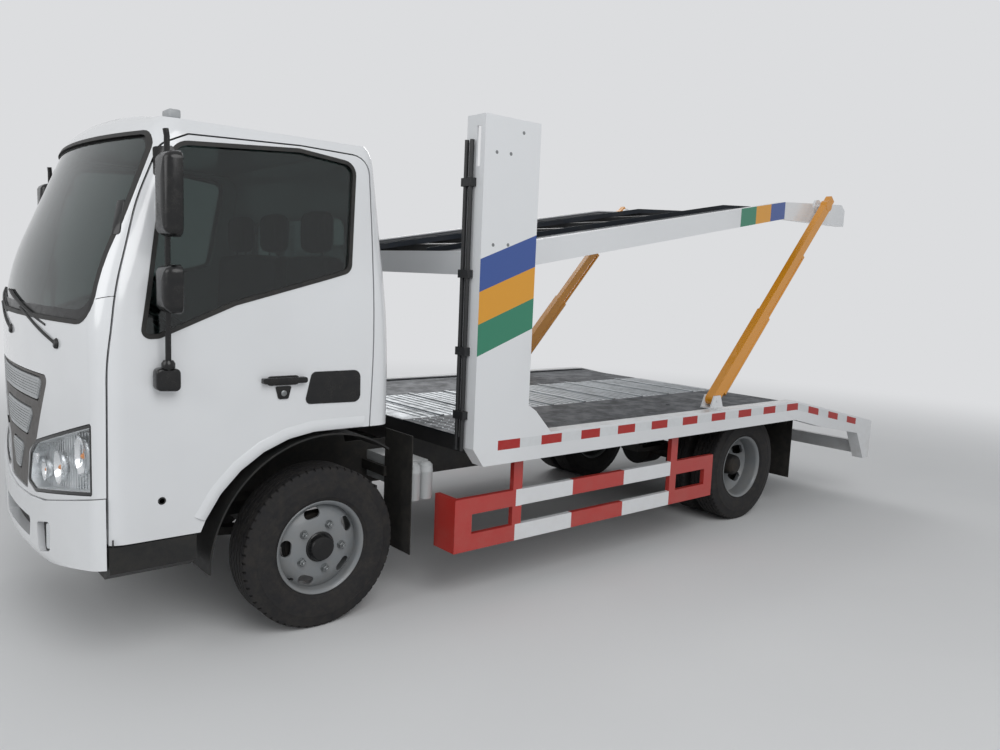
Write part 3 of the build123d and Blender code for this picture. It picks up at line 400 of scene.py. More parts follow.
@dataclass(frozen=True)
class WovenCloth(Finish):
    """Woven seat cloth: crossed threads that show as a fine weave."""

    thread: float = 0.004

    def shade(self, tree: Tree, place: Socket) -> None:
        """Fills the shader."""
        inputs = {"Vector": place, "Scale": math.pi / (10 * self.thread), "Distortion": 0.6}
        waves = [add_node(tree, "TexWave", inputs, bands_direction=way).outputs["Fac"] for way in ("Y", "Z")]
        weave = maths(tree, "MULTIPLY", *waves)
        set_shader(
            tree,
            base_color=mixed(tree, weave, dimmed(self.colour, 0.55), linear(self.colour)),
            roughness=0.9,
            sheen_weight=0.3,
            normal=relief(tree, weave, 0.5, 0.001),
        )


# Enamels: white and the three stripe colours with a soft gloss, the frame's black dull, so the decks show
WHITE = "#dfe1e3"
BLUE = "#2b4c92"
YELLOW = "#d8961c"
GREEN = "#1c7a5c"
RED = "#b3302a"
CAB_ENAMEL = Enamel("cab_enamel", WHITE, roughness=0.22, coat=0.8, dust=0.08)
DECK_ENAMEL = Enamel("deck_enamel", WHITE, roughness=0.32, coat=0.4, dust=0.3)
FRAME_ENAMEL = Enamel("frame_enamel", "#17181a", roughness=0.45, coat=0.1, dust=0.16, splash_top=1.0)
ARM_ENAMEL = Enamel("arm_enamel", "#d8901c", roughness=0.3, coat=0.4, dust=0.15)
RIM_ENAMEL = Enamel("rim_enamel", "#7c8083", roughness=0.38, coat=0.2, dust=0.2)
STRIPE_SLOPE = 0.38
STRIPE_X = 1.2075
STRIPE_HEIGHTS = (1.300, 1.456, 1.615, 1.774)
POST_ENAMEL = BandedEnamel(
    "post_enamel",
    WHITE,
    roughness=0.28,
    direction=(STRIPE_SLOPE, 0.0, 1.0),
    edges=tuple(height + STRIPE_SLOPE * STRIPE_X for height in STRIPE_HEIGHTS),
    colours=(GREEN, YELLOW, BLUE, ""),
    outside=1.1375,
)
RAIL_ENAMEL = BandedEnamel(
    "rail_enamel",
    WHITE,
    roughness=0.32,
    edges=(-1.74, -1.56, -1.38, -1.20),
    colours=(BLUE, YELLOW, GREEN, ""),
    outside=0.9495,
)
GUARD_ENAMEL = BandedEnamel(
    "guard_enamel",
    RED,
    roughness=0.35,
    dust=0.12,
    edges=(-0.47, -0.025, 0.41, 0.84),
    colours=(WHITE, RED, WHITE, ""),
    outside=1.0,
    levels=((0.329, 0.046), (0.521, 0.046)),
)
# Bare metals: bright, blotched dark with grime in patches
TREAD_METAL = BareMetal("tread_metal", "#b9bdc0", roughness=0.34, grime=0.3)
TRACK_STEEL = BareMetal("track_steel", "#2c3138", roughness=0.42, metallic=0.8, grime=0.4)
TANK_METAL = BareMetal("tank_metal", "#a6a8a9", roughness=0.38, grime=0.45)
AXLE_IRON = BareMetal("axle_iron", "#1c1c1d", roughness=0.6, metallic=0.3, grime=0.6, grime_colour="#4a4238")
# Plastics, rubber, glass and cloth: what frames the white cab in black, dull or shining
BLACK_PLASTIC = Moulded("black_plastic", "#141516", roughness=0.5, dust=0.08)
SLAT_PLASTIC = Moulded("slat_plastic", "#a4a7a9", roughness=0.3, relief=0.05, dust=0.08)
LAMP_LENS = SafetyGlass("lamp_lens", "#e8ecee")
RED_LENS = Moulded("red_lens", "#8c0d0d", roughness=0.12, relief=0.05, dust=0.1)
WINDOW_GLASS = SafetyGlass("window_glass", "#6f7d7b")
FLAP_RUBBER = Moulded("flap_rubber", "#151515", roughness=0.7, dust=0.12)
TYRE_RUBBER = Moulded("tyre_rubber", "#17171a", roughness=0.75, grain=0.003, dust=0.12)
SEAT_CLOTH = WovenCloth("seat_cloth", "#3c4043")
SEAL_RUBBER = Moulded("seal_rubber", "#101112", roughness=0.45, relief=0.05, dust=0.1)
CERAMIC_BORDER = Moulded("ceramic_border", "#0b0c0d", roughness=0.25, relief=0.02, dust=0.02)
CLEAR_LENS = LampCover("clear_cover", "#eef1f2")
CHROME = BareMetal("chrome", "#eceef0", roughness=0.06, grime=0.0)
FROSTED_BULB = Moulded("frosted_bulb", "#e08a3c", roughness=0.2, relief=0.02, dust=0.0)
GLOSS_BLACK = Moulded("gloss_black", "#0d0e10", roughness=0.16, relief=0.03, dust=0.04)
WIPER_BLACK = Moulded("wiper_black", "#101113", roughness=0.4, relief=0.05, dust=0.05)
MIRROR_SILVER = BareMetal("mirror_silver", "#c9cdd0", roughness=0.03, grime=0.03)
LAMP_BACK = BareMetal("lamp_back", "#e4e7e9", roughness=0.2, grime=0.02)
TANK_PALE = Enamel("tank_pale", "#b4b7b8", roughness=0.35, coat=0.2, dust=0.25)
GRILLE_GREY = Moulded("grille_grey", "#4b4846", roughness=0.4, relief=0.05, dust=0.06)
NUT_STEEL = BareMetal("nut_steel", "#8d9091", roughness=0.35, grime=0.3)
TAPE_RED = Moulded("tape_red", "#a8201e", roughness=0.35, grain=0.003, relief=0.15, dust=0.15)
TAPE_WHITE = Moulded("tape_white", "#d5d8da", roughness=0.35, grain=0.003, relief=0.15, dust=0.15)

SLOT_FINISHES = {
    "cab_paint": CAB_ENAMEL,
    "deck_paint": DECK_ENAMEL,
    "chassis_paint": FRAME_ENAMEL,
    "guard_paint": GUARD_ENAMEL,
    "arm_paint": ARM_ENAMEL,
    "rim_paint": RIM_ENAMEL,
    "tread_plate": TREAD_METAL,
    "track_steel": TRACK_STEEL,
    "tank_metal": TANK_METAL,
    "axle_iron": AXLE_IRON,
    "black_plastic": BLACK_PLASTIC,
    "slat_plastic": SLAT_PLASTIC,
    "lamp_lens": LAMP_LENS,
    "lamp_red": RED_LENS,
    "window_glass": WINDOW_GLASS,
    "flap_rubber": FLAP_RUBBER,
    "tyre_rubber": TYRE_RUBBER,
    "seat_cloth": SEAT_CLOTH,
}
NODE_FINISHES = {"posts": POST_ENAMEL, "upper_rails": RAIL_ENAMEL}


class PaintShop:
    """Makes each finish's material once and puts it on nodes and pieces."""

    def __init__(self) -> None:
        """Starts with no material made."""
        self.made: dict[str, Material] = {}

    def coat(self, piece: Piece, finish: Finish) -> None:
        """Puts a finish on a piece, in place of any other.

        Args:
            piece: A CAD node's object or a new piece.
            finish: One of the finishes above.
        """
        if finish.name not in self.made:
            self.made[finish.name] = finish.material()
        piece.data.materials.clear()
        piece.data.materials.append(self.made[finish.name])

    def coat_nodes(self) -> None:
        """Gives every CAD node the finish of its slot, or its own."""
        for part in frame["record"]["subparts"]:
            node, slot = part["node"], part["material_slot"]
            self.coat(frame["nodes"][node], NODE_FINISHES.get(node, SLOT_FINISHES[slot]))
            log.info("%s in %s", node, slot)


SHOP = PaintShop()


# Modelling helpers


AHEAD = Vector((1, 0, 0))
ACROSS = Vector((0, 1, 0))
UP = Vector((0, 0, 1))
SHARP_TURN = 1.0


def deselect() -> None:
    """Clears the selection, so that the next operator acts on its own piece alone."""
    bpy.ops.object.select_all(action="DESELECT")


def pick(piece: Piece) -> None:
    """Selects one piece alone and makes it active."""
    deselect()
    piece.select_set(True)
    bpy.context.view_layer.objects.active = piece


@contextmanager
def editing() -> Iterator[None]:
    """Opens the active piece in edit mode with all of it selected, and closes it afterwards."""
    bpy.ops.object.mode_set(mode="EDIT")
    bpy.ops.mesh.select_all(action="SELECT")
    yield
    bpy.ops.object.mode_set(mode="OBJECT")


def named(piece: Piece, name: str) -> Piece:
    """Names a piece and its mesh alike."""
    piece.name = piece.data.name = name
    return piece


def add_outline(name: str, corners: list[Vector], fill: str = "NGON") -> Piece:
    """Adds a flat face, or a bare loop, with its corners at the given points.

    Args:
        name: The piece's name.
        corners: The outline's points in order, in metres.
        fill: NGON for a face, NOTHING for a loop.

    Returns:
        The new piece.
    """
    deselect()
    bpy.ops.mesh.primitive_circle_add(vertices=len(corners), fill_type=fill)
    piece = named(bpy.context.active_object, name)
    for vertex, corner in zip(piece.data.vertices, corners):
        vertex.co = corner
    return piece


def add_modifier(piece: Piece, kind: str, **settings: object) -> None:
    """Adds a modifier with its settings and applies it.

    Args:
        piece: The piece that it shapes.
        kind: The modifier's type.
        **settings: The modifier's properties.
    """
    pick(piece)
    modifier = piece.modifiers.new(kind.lower(), kind)
    for name, value in settings.items():
        setattr(modifier, name, value)
    bpy.ops.object.modifier_apply(modifier=modifier.name)


def soften(piece: Piece, width: float, segments: int = 2) -> None:
    """Rounds the edges that turn sharply."""
    limit = {"limit_method": "ANGLE", "angle_limit": SHARP_TURN}
    add_modifier(piece, "BEVEL", width=width, segments=segments, **limit)


def add_plate(name: str, corners: list[Vector], push: Vector) -> Piece:
    """Adds a plate: an outline extruded by a vector.

    Args:
        name: The piece's name.
        corners: The outline's points in order.
        push: The extrusion.

    Returns:
        The new piece.
    """
    piece = add_outline(name, corners)
    with editing():
        bpy.ops.mesh.extrude_region_move(TRANSFORM_OT_translate={"value": push})
        bpy.ops.mesh.select_all(action="SELECT")
        bpy.ops.mesh.normals_make_consistent(inside=False)
    return piece


def add_forward(name: str, flat: list[tuple], start: float, reach: float) -> Piece:
    """Extrudes an outline drawn as across and up, along X.

    Args:
        name: The piece's name.
        flat: The outline's points.
        start: The X where it starts.
        reach: How far it goes.

    Returns:
        The new piece.
    """
    return add_plate(name, [Vector((start, y, z)) for y, z in flat], Vector((reach, 0, 0)))


def add_sideways(name: str, flat: list[tuple], start: float, reach: float) -> Piece:
    """Extrudes an outline drawn as along and up, along Y.

    Args:
        name: The piece's name.
        flat: The outline's points.
        start: The Y where it starts.
        reach: How far it goes.

    Returns:
        The new piece.
    """
    return add_plate(name, [Vector((x, start, z)) for x, z in flat], Vector((0, reach, 0)))


def rectangle(x0: float, y0: float, x1: float, y1: float) -> Flat:
    """Gives a rectangle's corners."""
    return [(x0, y0), (x1, y0), (x1, y1), (x0, y1)]


def add_turned(
    name: str,
    profile: Flat,
    centre: Vector,
    axis: Vector,
    steps: int = 48,
    angle: float = math.tau,
) -> Piece:
    """Adds a turned piece: a closed profile spun round an axis.

    Args:
        name: The piece's name.
        profile: The section's points in order, as radius and distance along the axis.
        centre: A point on the axis, where the distances start.
        axis: The axis, which the distances follow.
        steps: How many steps the spin takes.
        angle: How far it spins.

    Returns:
        The new piece.
    """
    away = axis.orthogonal().normalized()
    corners = [centre + away * radius + axis * along for radius, along in profile]
    piece = add_outline(name, corners, "NOTHING")
    with editing():
        bpy.ops.mesh.spin(steps=steps, angle=angle, center=centre, axis=axis)
        bpy.ops.mesh.select_all(action="SELECT")
        bpy.ops.mesh.remove_doubles(threshold=0.00005)
        bpy.ops.mesh.normals_make_consistent(inside=False)
    return piece


def add_tube(name: str, points: list[Vector], radius: float, curved: bool = False) -> Piece:
    """Adds a round bar or hose along a path.

    Args:
        name: The piece's name.
        points: The path's points.
        radius: The bar's radius.
        curved: Whether the path runs smoothly through its points.

    Returns:
        The new piece, a mesh.
    """
    deselect()
    bpy.ops.curve.primitive_bezier_curve_add()
    piece = bpy.context.active_object
    piece.name = name
    spline = piece.data.splines[0]
    spline.bezier_points.add(len(points) - 2)
    for knot, point in zip(spline.bezier_points, points):
        knot.handle_left_type = knot.handle_right_type = "AUTO" if curved else "VECTOR"
        knot.co = point
    piece.data.bevel_depth = radius
    piece.data.bevel_resolution = 3
    piece.data.resolution_u = 8 if curved else 1
    piece.data.use_fill_caps = True
    bpy.ops.object.convert(target="MESH")
    return bpy.context.active_object


def joined(pieces: list[Piece], name: str) -> Piece:
    """Joins pieces into one.

    Args:
        pieces: The pieces, of which the first keeps its object.
        name: The joined piece's name.

    Returns:
        The joined piece.
    """
    pick(pieces[0])
    for piece in pieces[1:]:
        piece.select_set(True)
    bpy.ops.object.join()
    return named(pieces[0], name)


def copied(piece: Piece, moves: list[Matrix], name: str) -> Piece:
    """Puts a copy of a piece at each place and joins the copies.

    Args:
        piece: The pattern piece, which is used up.
        moves: Where each copy goes, from the pattern's own place.
        name: The joined piece's name.

    Returns:
        The joined piece.
    """
    copies = []
    for move in moves:
        twin = piece.copy()
        twin.data = piece.data.copy()
        bpy.context.collection.objects.link(twin)
        twin.data.transform(move)
        if move.determinant() < 0:
            twin.data.flip_normals()
        copies.append(twin)
    bpy.data.objects.remove(piece)
    return joined(copies, name)


def turned_about(centre: Vector, axis: Vector, angle: float) -> Matrix:
    """Gives the turn by an angle about a line through a point."""
    return Matrix.Translation(centre) @ Matrix.Rotation(angle, 4, axis) @ Matrix.Translation(-centre)


def settle(piece: Piece, finish: Finish, body: str, smooth: float = 35.0) -> None:
    """Finishes a piece: place applied, shading smoothed, coated, and fixed to its body.

    Args:
        piece: The piece.
        finish: Its finish.
        body: The CAD body that carries it.
        smooth: Edges sharper than this angle, in degrees, stay sharp.
    """
    pick(piece)
    bpy.ops.object.transform_apply(location=True, rotation=True, scale=True)
    bpy.ops.object.shade_smooth_by_angle(angle=math.radians(smooth))
    SHOP.coat(piece, finish)
    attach(piece, body)
    log.info("%s on %s", piece.name, body)


def touch(node: str, start: Vector, direction: Vector) -> Vector:
    """Finds where a straight line meets a CAD node.

    Args:
        node: The node's name.
        start: Where the line starts.
        direction: Which way it runs.

    Returns:
        The place.
    """
    hit, place, _, _ = frame["nodes"][node].ray_cast(start, direction.normalized())
    if not hit:
        raise ValueError(f"the line from {tuple(start)} misses {node}")
    return place


def centre_of(node: str) -> Vector:
    """Gives the middle of a CAD node's box."""
    low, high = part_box(node)
    return (low + high) / 2


# Wheels


@dataclass
class TyreTread:
    """Road tyres with zigzag grooves, notched shoulders and sidewall rings, in place of the plain solids."""

    width: float = 0.200
    bead_radius: float = 0.213
    bead_half: float = 0.075
    seat_radius: float = 0.226
    pitches: int = 60
    groove_depth: float = 0.009
    groove_width: float = 0.008
    zigzag: float = 0.004
    notch_depth: float = 0.007

    def profile(self, radius: float) -> Flat:
        """Gives half of the section, from the bead to the middle of the crown.

        Args:
            radius: The tyre's radius.

        Returns:
            Points as radius and distance from the tyre's middle.
        """
        half = self.width / 2
        bottom = radius - self.groove_depth
        width = self.groove_width / 2
        seat = self.seat_radius
        points = [
            (self.bead_radius, self.bead_half), (seat, self.bead_half + 0.001), (seat + 0.014, half - 0.016),
            (seat + 0.018, half - 0.011), (0.258, half - 0.008), (0.285, half - 0.001), (0.305, half),
            (0.322, half - 0.002), (0.326, half - 0.001), (0.330, half - 0.004), (0.352, half - 0.010),
            (radius - 0.012, half - 0.013), (radius - 0.004, half - 0.018), (radius, half - 0.028),
        ]
        for middle in (0.048, 0.016):
            points += [(radius, middle + width), (bottom, middle + width * 0.6)]
            points += [(bottom, middle - width * 0.6), (radius, middle - width)]
        return points

    def build(self, name: str, middle: Vector, radius: float) -> Piece:
        """Models one pitch of tread and copies it round the tyre.

        Args:
            name: The piece's name.
            middle: The tyre's centre.
            radius: Its radius.

        Returns:
            The tyre.
        """
        half = self.profile(radius)
        loop = half + [(reach, -along) for reach, along in reversed(half)]
        pitch = math.tau / self.pitches
        sector = add_turned(name, loop, middle, ACROSS, steps=4, angle=pitch)
        away = ACROSS.orthogonal()
        crown = radius - 0.02
        for vertex in sector.data.vertices:
            offset = vertex.co - middle
            reach = math.hypot(offset.x, offset.z)
            turn = math.atan2(offset.x, offset.z) - math.atan2(away.x, away.z)
            share = (turn / pitch) % 1.0
            if reach > crown and abs(offset.y) < 0.06:
                wave = 1 - abs(4 * ((share + 0.25) % 1.0) - 2)
                vertex.co.y += self.zigzag * wave
        moves = [turned_about(middle, ACROSS, pitch * step) for step in range(self.pitches)]
        self.notch(sector, middle, radius)
        tyre = copied(sector, moves, name)
        with editing():
            bpy.ops.mesh.remove_doubles(threshold=0.0001)
            bpy.ops.mesh.normals_make_consistent(inside=False)
        return tyre

    def notch(self, sector: Piece, middle: Vector, radius: float) -> None:
        """Sinks the second of the pitch's four shoulder faces on each side."""
        mesh = sector.data
        away = ACROSS.orthogonal()
        pitch = math.tau / self.pitches
        pick(sector)
        bpy.ops.object.mode_set(mode="EDIT")
        bpy.ops.mesh.select_all(action="DESELECT")
        bpy.ops.mesh.select_mode(type="FACE")
        bpy.ops.object.mode_set(mode="OBJECT")
        for face in mesh.polygons:
            offset = face.center - middle
            reach = math.hypot(offset.x, offset.z)
            flat = Vector((offset.x, 0, offset.z))
            turn = abs(flat.angle(away)) / pitch
            shoulder = reach > radius - 0.013 and abs(offset.y) > 0.068
            face.select = shoulder and 0.25 < turn < 0.5
        bpy.ops.object.mode_set(mode="EDIT")
        bpy.ops.mesh.extrude_region_shrink_fatten(
            TRANSFORM_OT_shrink_fatten={"value": -self.notch_depth}
        )
        bpy.ops.mesh.select_mode(type="VERT")
        bpy.ops.object.mode_set(mode="OBJECT")

    def dress(self) -> None:
        """Replaces each axle end's tyre solids."""
        for side in Side:
            low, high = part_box(f"front_tyre_{side.tag}")
            middle, radius = (low + high) / 2, (high.z - low.z) / 2
            tyre = self.build(f"tread_front_{side.tag}", middle, radius)
            settle(tyre, TYRE_RUBBER, f"front_wheel_{side.tag}", smooth=30)
            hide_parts(f"front_tyre_{side.tag}")
            low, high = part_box(f"rear_tyres_{side.tag}")
            middle = (low + high) / 2
            half = (high.y - low.y) / 2 - self.width / 2
            pair = [
                self.build(f"tread_rear_{side.tag}", middle + Vector((0, shift, 0)), radius)
                for shift in (half, -half)
            ]
            tyres = joined(pair, f"treads_rear_{side.tag}")
            settle(tyres, TYRE_RUBBER, f"rear_wheels_{side.tag}", smooth=30)
            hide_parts(f"rear_tyres_{side.tag}")


# Rims

FIRST_HOLE = math.radians(13)
HOLES = 5


def spaced_round(piece: Piece, middle: Vector, start: float, name: str) -> Piece:
    """Copies a piece to five even places round a wheel's centre.

    Args:
        piece: The piece, drawn at the top.
        middle: The wheel's centre.
        start: The first copy's turn, in radians.
        name: The joined piece's name.

    Returns:
        The joined copies.
    """
    moves = [turned_about(middle, ACROSS, start + math.tau * k / HOLES) for k in range(HOLES)]
    return copied(piece, moves, name)


@dataclass
class PressedRims:
    """Pressed steel rims with rolled flanges, domed discs, five oval hand holes, hubs and brake drums."""

    hole_half: float = 0.040
    hole_rise: float = 0.023
    front_hole_circle: float = 0.168
    rear_hole_circle: float = 0.172
    tyre_width: float = 0.200

    def barrel(self, middle: Vector) -> Piece:
        """Turns a rim's barrel with its two rolled flanges."""
        half = [
            (0.205, 0.060), (0.209, 0.072), (0.217, 0.0795), (0.223, 0.083), (0.226, 0.0805), (0.2245, 0.077),
            (0.218, 0.0745), (0.213, 0.070),
        ]
        loop = half + [(radius, -along) for radius, along in reversed(half)]
        return add_turned("barrel", loop, middle, ACROSS, steps=72)

    def holes(self, middle: Vector, circle: float, reach: float) -> Piece:
        """Makes the oval cutters round a wheel's centre, on a circle and reaching to both sides."""
        half, rise = self.hole_half, self.hole_rise
        oval = rounded(rise - 0.0005, *rectangle(-half, circle - rise, half, circle + rise))
        corners = [middle + Vector((x, -reach, z)) for x, z in round_corners(oval, steps=8)]
        return spaced_round(add_plate("hole", corners, ACROSS * 2 * reach), middle, FIRST_HOLE, "holes")

    def fit(self, rim: Piece, drum: Piece, end: str) -> None:
        """Coats an end's rim and drum and lets them turn with its wheel."""
        settle(rim, RIM_ENAMEL, end, smooth=32)
        settle(drum, AXLE_IRON, end, smooth=32)

    def front(self, side: Side) -> None:
        """Builds a front rim in place of its plain solid."""
        middle, axis = centre_of(f"front_tyre_{side.tag}"), ACROSS * side.value
        section = [
            (0.205, 0.018), (0.205, 0.030), (0.197, 0.034), (0.188, 0.044), (0.150, 0.058), (0.138, 0.064),
            (0.073, 0.064), (0.073, 0.054), (0.133, 0.054), (0.188, 0.034),
        ]
        hub = [
            (0, -0.034), (0.150, -0.034), (0.152, -0.026), (0.150, 0.008), (0.0725, 0.012), (0.0725, 0.052),
            (0, 0.052),
        ]
        disc = add_turned("disc", section, middle, axis, 72)
        carve(disc, self.holes(middle, self.front_hole_circle, 0.12))
        drum = add_turned(f"front_drum_{side.tag}", hub, middle, axis, 48)
        rim = joined([self.barrel(middle), disc], f"rim_front_{side.tag}")
        self.fit(rim, drum, f"front_wheel_{side.tag}")
        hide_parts(f"front_rim_{side.tag}")

    def rear(self, side: Side) -> None:
        """Builds a twin rear rim in place of its plain solid."""
        low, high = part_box(f"rear_tyres_{side.tag}")
        middle, axis = (low + high) / 2, ACROSS * side.value
        half = (high.y - low.y - self.tyre_width) / 2
        section = [
            (0.205, half - 0.040), (0.205, half - 0.028), (0.196, half - 0.034), (0.150, 0.018),
            (0.140, 0.012), (0.060, 0.012), (0.060, 0.0), (0.145, 0.0), (0.190, half - 0.048),
        ]
        hub = [
            (0, -0.170), (0.158, -0.170), (0.160, -0.160), (0.160, -0.050), (0.090, -0.048), (0.090, 0.030),
            (0.078, 0.050), (0.072, 0.128), (0.066, 0.140), (0.052, 0.150), (0, 0.150),
        ]
        outer = add_turned("disc", section, middle, axis, 72)
        inner = add_turned("disc", [(radius, -along) for radius, along in section], middle, axis, 72)
        discs = carve(joined([outer, inner], "discs"), self.holes(middle, self.rear_hole_circle, 0.20))
        barrels = [self.barrel(middle + ACROSS * shift) for shift in (half, -half)]
        rim = joined(barrels + [discs], f"rims_rear_{side.tag}")
        drum = add_turned(f"rear_hub_{side.tag}", hub, middle, axis, 48)
        self.fit(rim, drum, f"rear_wheels_{side.tag}")
        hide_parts(f"rear_rims_{side.tag}")

    def dress(self) -> None:
        """Builds the rims at all four ends."""
        for side in Side:
            self.front(side)
            self.rear(side)


@dataclass
class WheelTrim:
    """Wheel nuts on their studs, and a hub cap and a valve in the front wheels."""

    nut_across: float = 0.030
    nut_height: float = 0.022
    front_circle: float = 0.112
    front_face: float = 0.064
    cap_face: float = 0.050
    rear_circle: float = 0.104
    rear_face: float = 0.012

    def nut(self, foot: Vector, axis: Vector) -> Piece:
        """Models one nut with its washer and the stud's end, standing on the disc and facing out."""
        radius, height = self.nut_across / 2, self.nut_height
        corner = radius / math.cos(math.pi / 6)
        washer = [(0, 0), (radius + 0.006, 0), (radius + 0.004, 0.004), (0, 0.004)]
        hexagon = [(0, 0.003), (corner, 0.003), (corner, height - 0.004), (corner * 0.8, height), (0, height)]
        top = height + 0.011
        stud = [(0, height), (0.008, height), (0.008, top - 0.002), (0.006, top), (0, top)]
        parts = (("washer", washer, 18), ("hexagon", hexagon, 6), ("stud", stud, 12))
        return joined([add_turned(word, profile, foot, axis, steps) for word, profile, steps in parts], "nut")

    def ring(self, name: str, middle: Vector, face: float, circle: float, side: Side) -> None:
        """Sets the nuts round a wheel's centre, between the hand holes.

        Args:
            name: Which end it is, front or rear.
            middle: The wheel's centre.
            face: How far out the disc's face lies.
            circle: The radius that the nuts stand on.
            side: The truck's side.
        """
        foot = middle + Vector((0, side.value * face, circle))
        start = FIRST_HOLE + math.pi / HOLES
        nuts = spaced_round(self.nut(foot, ACROSS * side.value), middle, start, f"{name}_nuts_{side.tag}")
        body = f"{name}_wheel_{side.tag}" if name == "front" else f"{name}_wheels_{side.tag}"
        settle(nuts, NUT_STEEL, body, smooth=25)

    def cap(self, name: str, middle: Vector, side: Side) -> Piece:
        """Turns the black hub cap that sits in the front disc's bore."""
        profile = [
            (0, 0.002), (0.0715, 0.002), (0.0715, 0.016), (0.066, 0.019), (0.060, 0.040), (0.054, 0.047),
            (0.040, 0.0495), (0, 0.050),
        ]
        axis = ACROSS * side.value
        return add_turned(name, profile, middle + axis * self.cap_face, axis, steps=40)

    def valve(self, name: str, middle: Vector, side: Side) -> Piece:
        """Bends a valve stem out of the rim, with its cap."""
        foot = middle + Vector((0.150, side.value * 0.020, -0.135))
        tip = foot + Vector((-0.006, side.value * 0.045, 0.006))
        stem = add_tube(name, [foot, (foot + tip) / 2 + Vector((0.003, 0, -0.003)), tip], 0.004, curved=True)
        profile = [(0, -0.006), (0.0055, -0.006), (0.0055, 0.008), (0.004, 0.010), (0, 0.010)]
        return joined([stem, add_turned("valve_cap", profile, tip, ACROSS * side.value, steps=12)], name)

    def dress(self) -> None:
        """Fits all four wheel ends."""
        for side in Side:
            middle, body = centre_of(f"front_tyre_{side.tag}"), f"front_wheel_{side.tag}"
            self.ring("front", middle, self.front_face, self.front_circle, side)
            settle(self.cap(f"hub_cap_{side.tag}", middle, side), GLOSS_BLACK, body)
            settle(self.valve(f"front_valve_{side.tag}", middle, side), BLACK_PLASTIC, body)
            rear_middle = centre_of(f"rear_tyres_{side.tag}")
            self.ring("rear", rear_middle, self.rear_face, self.rear_circle, side)


# Deck surface


@dataclass
class ChequerPlate:
    """Raised bars rolled on a deck's plate, in pairs that lean one way and the other."""

    pitch: float = 0.055
    bar_length: float = 0.040
    bar_width: float = 0.009
    bar_height: float = 0.0025
    lean: float = 45.0

    def pair(self, middle: Vector) -> Piece:
        """Models two bars side by side, leaning opposite ways."""
        bars = []
        for turn, shift in ((self.lean, 0.0), (-self.lean, self.pitch / 2)):
            deselect()
            bpy.ops.mesh.primitive_circle_add(vertices=8, radius=0.5, fill_type="NGON")
            bar = bpy.context.active_object
            with editing():
                bpy.ops.transform.resize(value=(self.bar_length, self.bar_width, 1))
                bpy.ops.mesh.extrude_region_move(TRANSFORM_OT_translate={"value": (0, 0, self.bar_height)})
                bpy.ops.transform.resize(value=(0.85, 0.45, 1))
            bar.data.transform(Matrix.Rotation(math.radians(turn), 4, "Z"))
            bar.data.transform(Matrix.Translation(middle + Vector((0, shift, 0))))
            bars.append(bar)
        return joined(bars, "bars")

    def cover(self, name: str, low: Vector, high: Vector) -> Piece:
        """Covers a level rectangle with bars.

        Args:
            name: The piece's name.
            low: The rectangle's low corner, on the plate.
            high: Its high corner.

        Returns:
            The bars as one piece.
        """
        columns = int((high.x - low.x) / self.pitch)
        rows = int((high.y - low.y) / self.pitch)
        margin_x = (high.x - low.x - (columns - 1) * self.pitch) / 2
        margin_y = (high.y - low.y - (rows - 0.5) * self.pitch) / 2
        piece = self.pair(Vector((low.x + margin_x, low.y + margin_y, high.z - 0.0002)))
        for count, step in ((columns, (self.pitch, 0, 0)), (rows, (0, self.pitch, 0))):
            add_modifier(
                piece, "ARRAY", count=count, use_relative_offset=False,
                use_constant_offset=True, constant_offset_displace=step,
            )
        return named(piece, name)


@dataclass
class DeckFloor:
    """The lower deck's surface: chequer bars on the front strip and rolled ribs on the centre plate."""

    strip_rear_x: float = 0.88
    strip_starts: tuple[float, float] = (-1.10, 0.41)
    strip_width: float = 0.69
    rib_pitch: float = 0.055
    rib_width: float = 0.010
    rib_height: float = 0.004
    rib_half: float = 0.385
    tail_kink_x: float = -1.8
    bar_x: float = 0.860
    bar_pitch: float = 0.300
    bar_count: int = 9
    bar_clearance: float = 0.024

    def floor_at(self, x: float, y: float) -> Vector:
        """Gives the deck plate's surface at a place."""
        node = "lower_centre_plate" if abs(y) < 0.4 else "lower_tracks"
        return touch(node, Vector((x, y, 1.2)), -UP)

    def rib(self, x: float) -> Piece:
        """Models one rib across the centre plate, with sloping flanks."""
        floor = self.floor_at(x, 0.35)
        ahead = self.floor_at(x + 0.02, 0.35)
        along = (ahead - floor).normalized()
        up = along.cross(ACROSS)
        half, height = self.rib_width / 2, self.rib_height
        section = [(-half, -0.001), (half, -0.001), (half * 0.5, height), (-half * 0.5, height)]
        start = Vector((floor.x, -self.rib_half, floor.z))
        return add_plate("rib", [start + along * a + up * b for a, b in section], ACROSS * 2 * self.rib_half)

    def dress(self) -> None:
        """Adds the bars and the ribs."""
        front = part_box("lower_tracks")[1]
        strips = []
        for y in self.strip_starts:
            low = Vector((self.strip_rear_x, y, front.z))
            high = Vector((front.x - 0.01, y + self.strip_width, front.z))
            strips.append(ChequerPlate().cover("strip_bars", low, high))
        settle(joined(strips, "deck_front_bars"), TREAD_METAL, "chassis", smooth=20)
        clear = [self.bar_x - self.bar_pitch * index for index in range(self.bar_count)]
        ribs = []
        low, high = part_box("lower_centre_plate")
        for index in range(int((high.x - low.x - 0.06) / self.rib_pitch)):
            x = low.x + 0.04 + index * self.rib_pitch
            if all(abs(x - bar) > self.bar_clearance for bar in clear) and abs(x - self.tail_kink_x) > 0.02:
                ribs.append(self.rib(x))
        settle(joined(ribs, "centre_plate_ribs"), TREAD_METAL, "chassis", smooth=20)


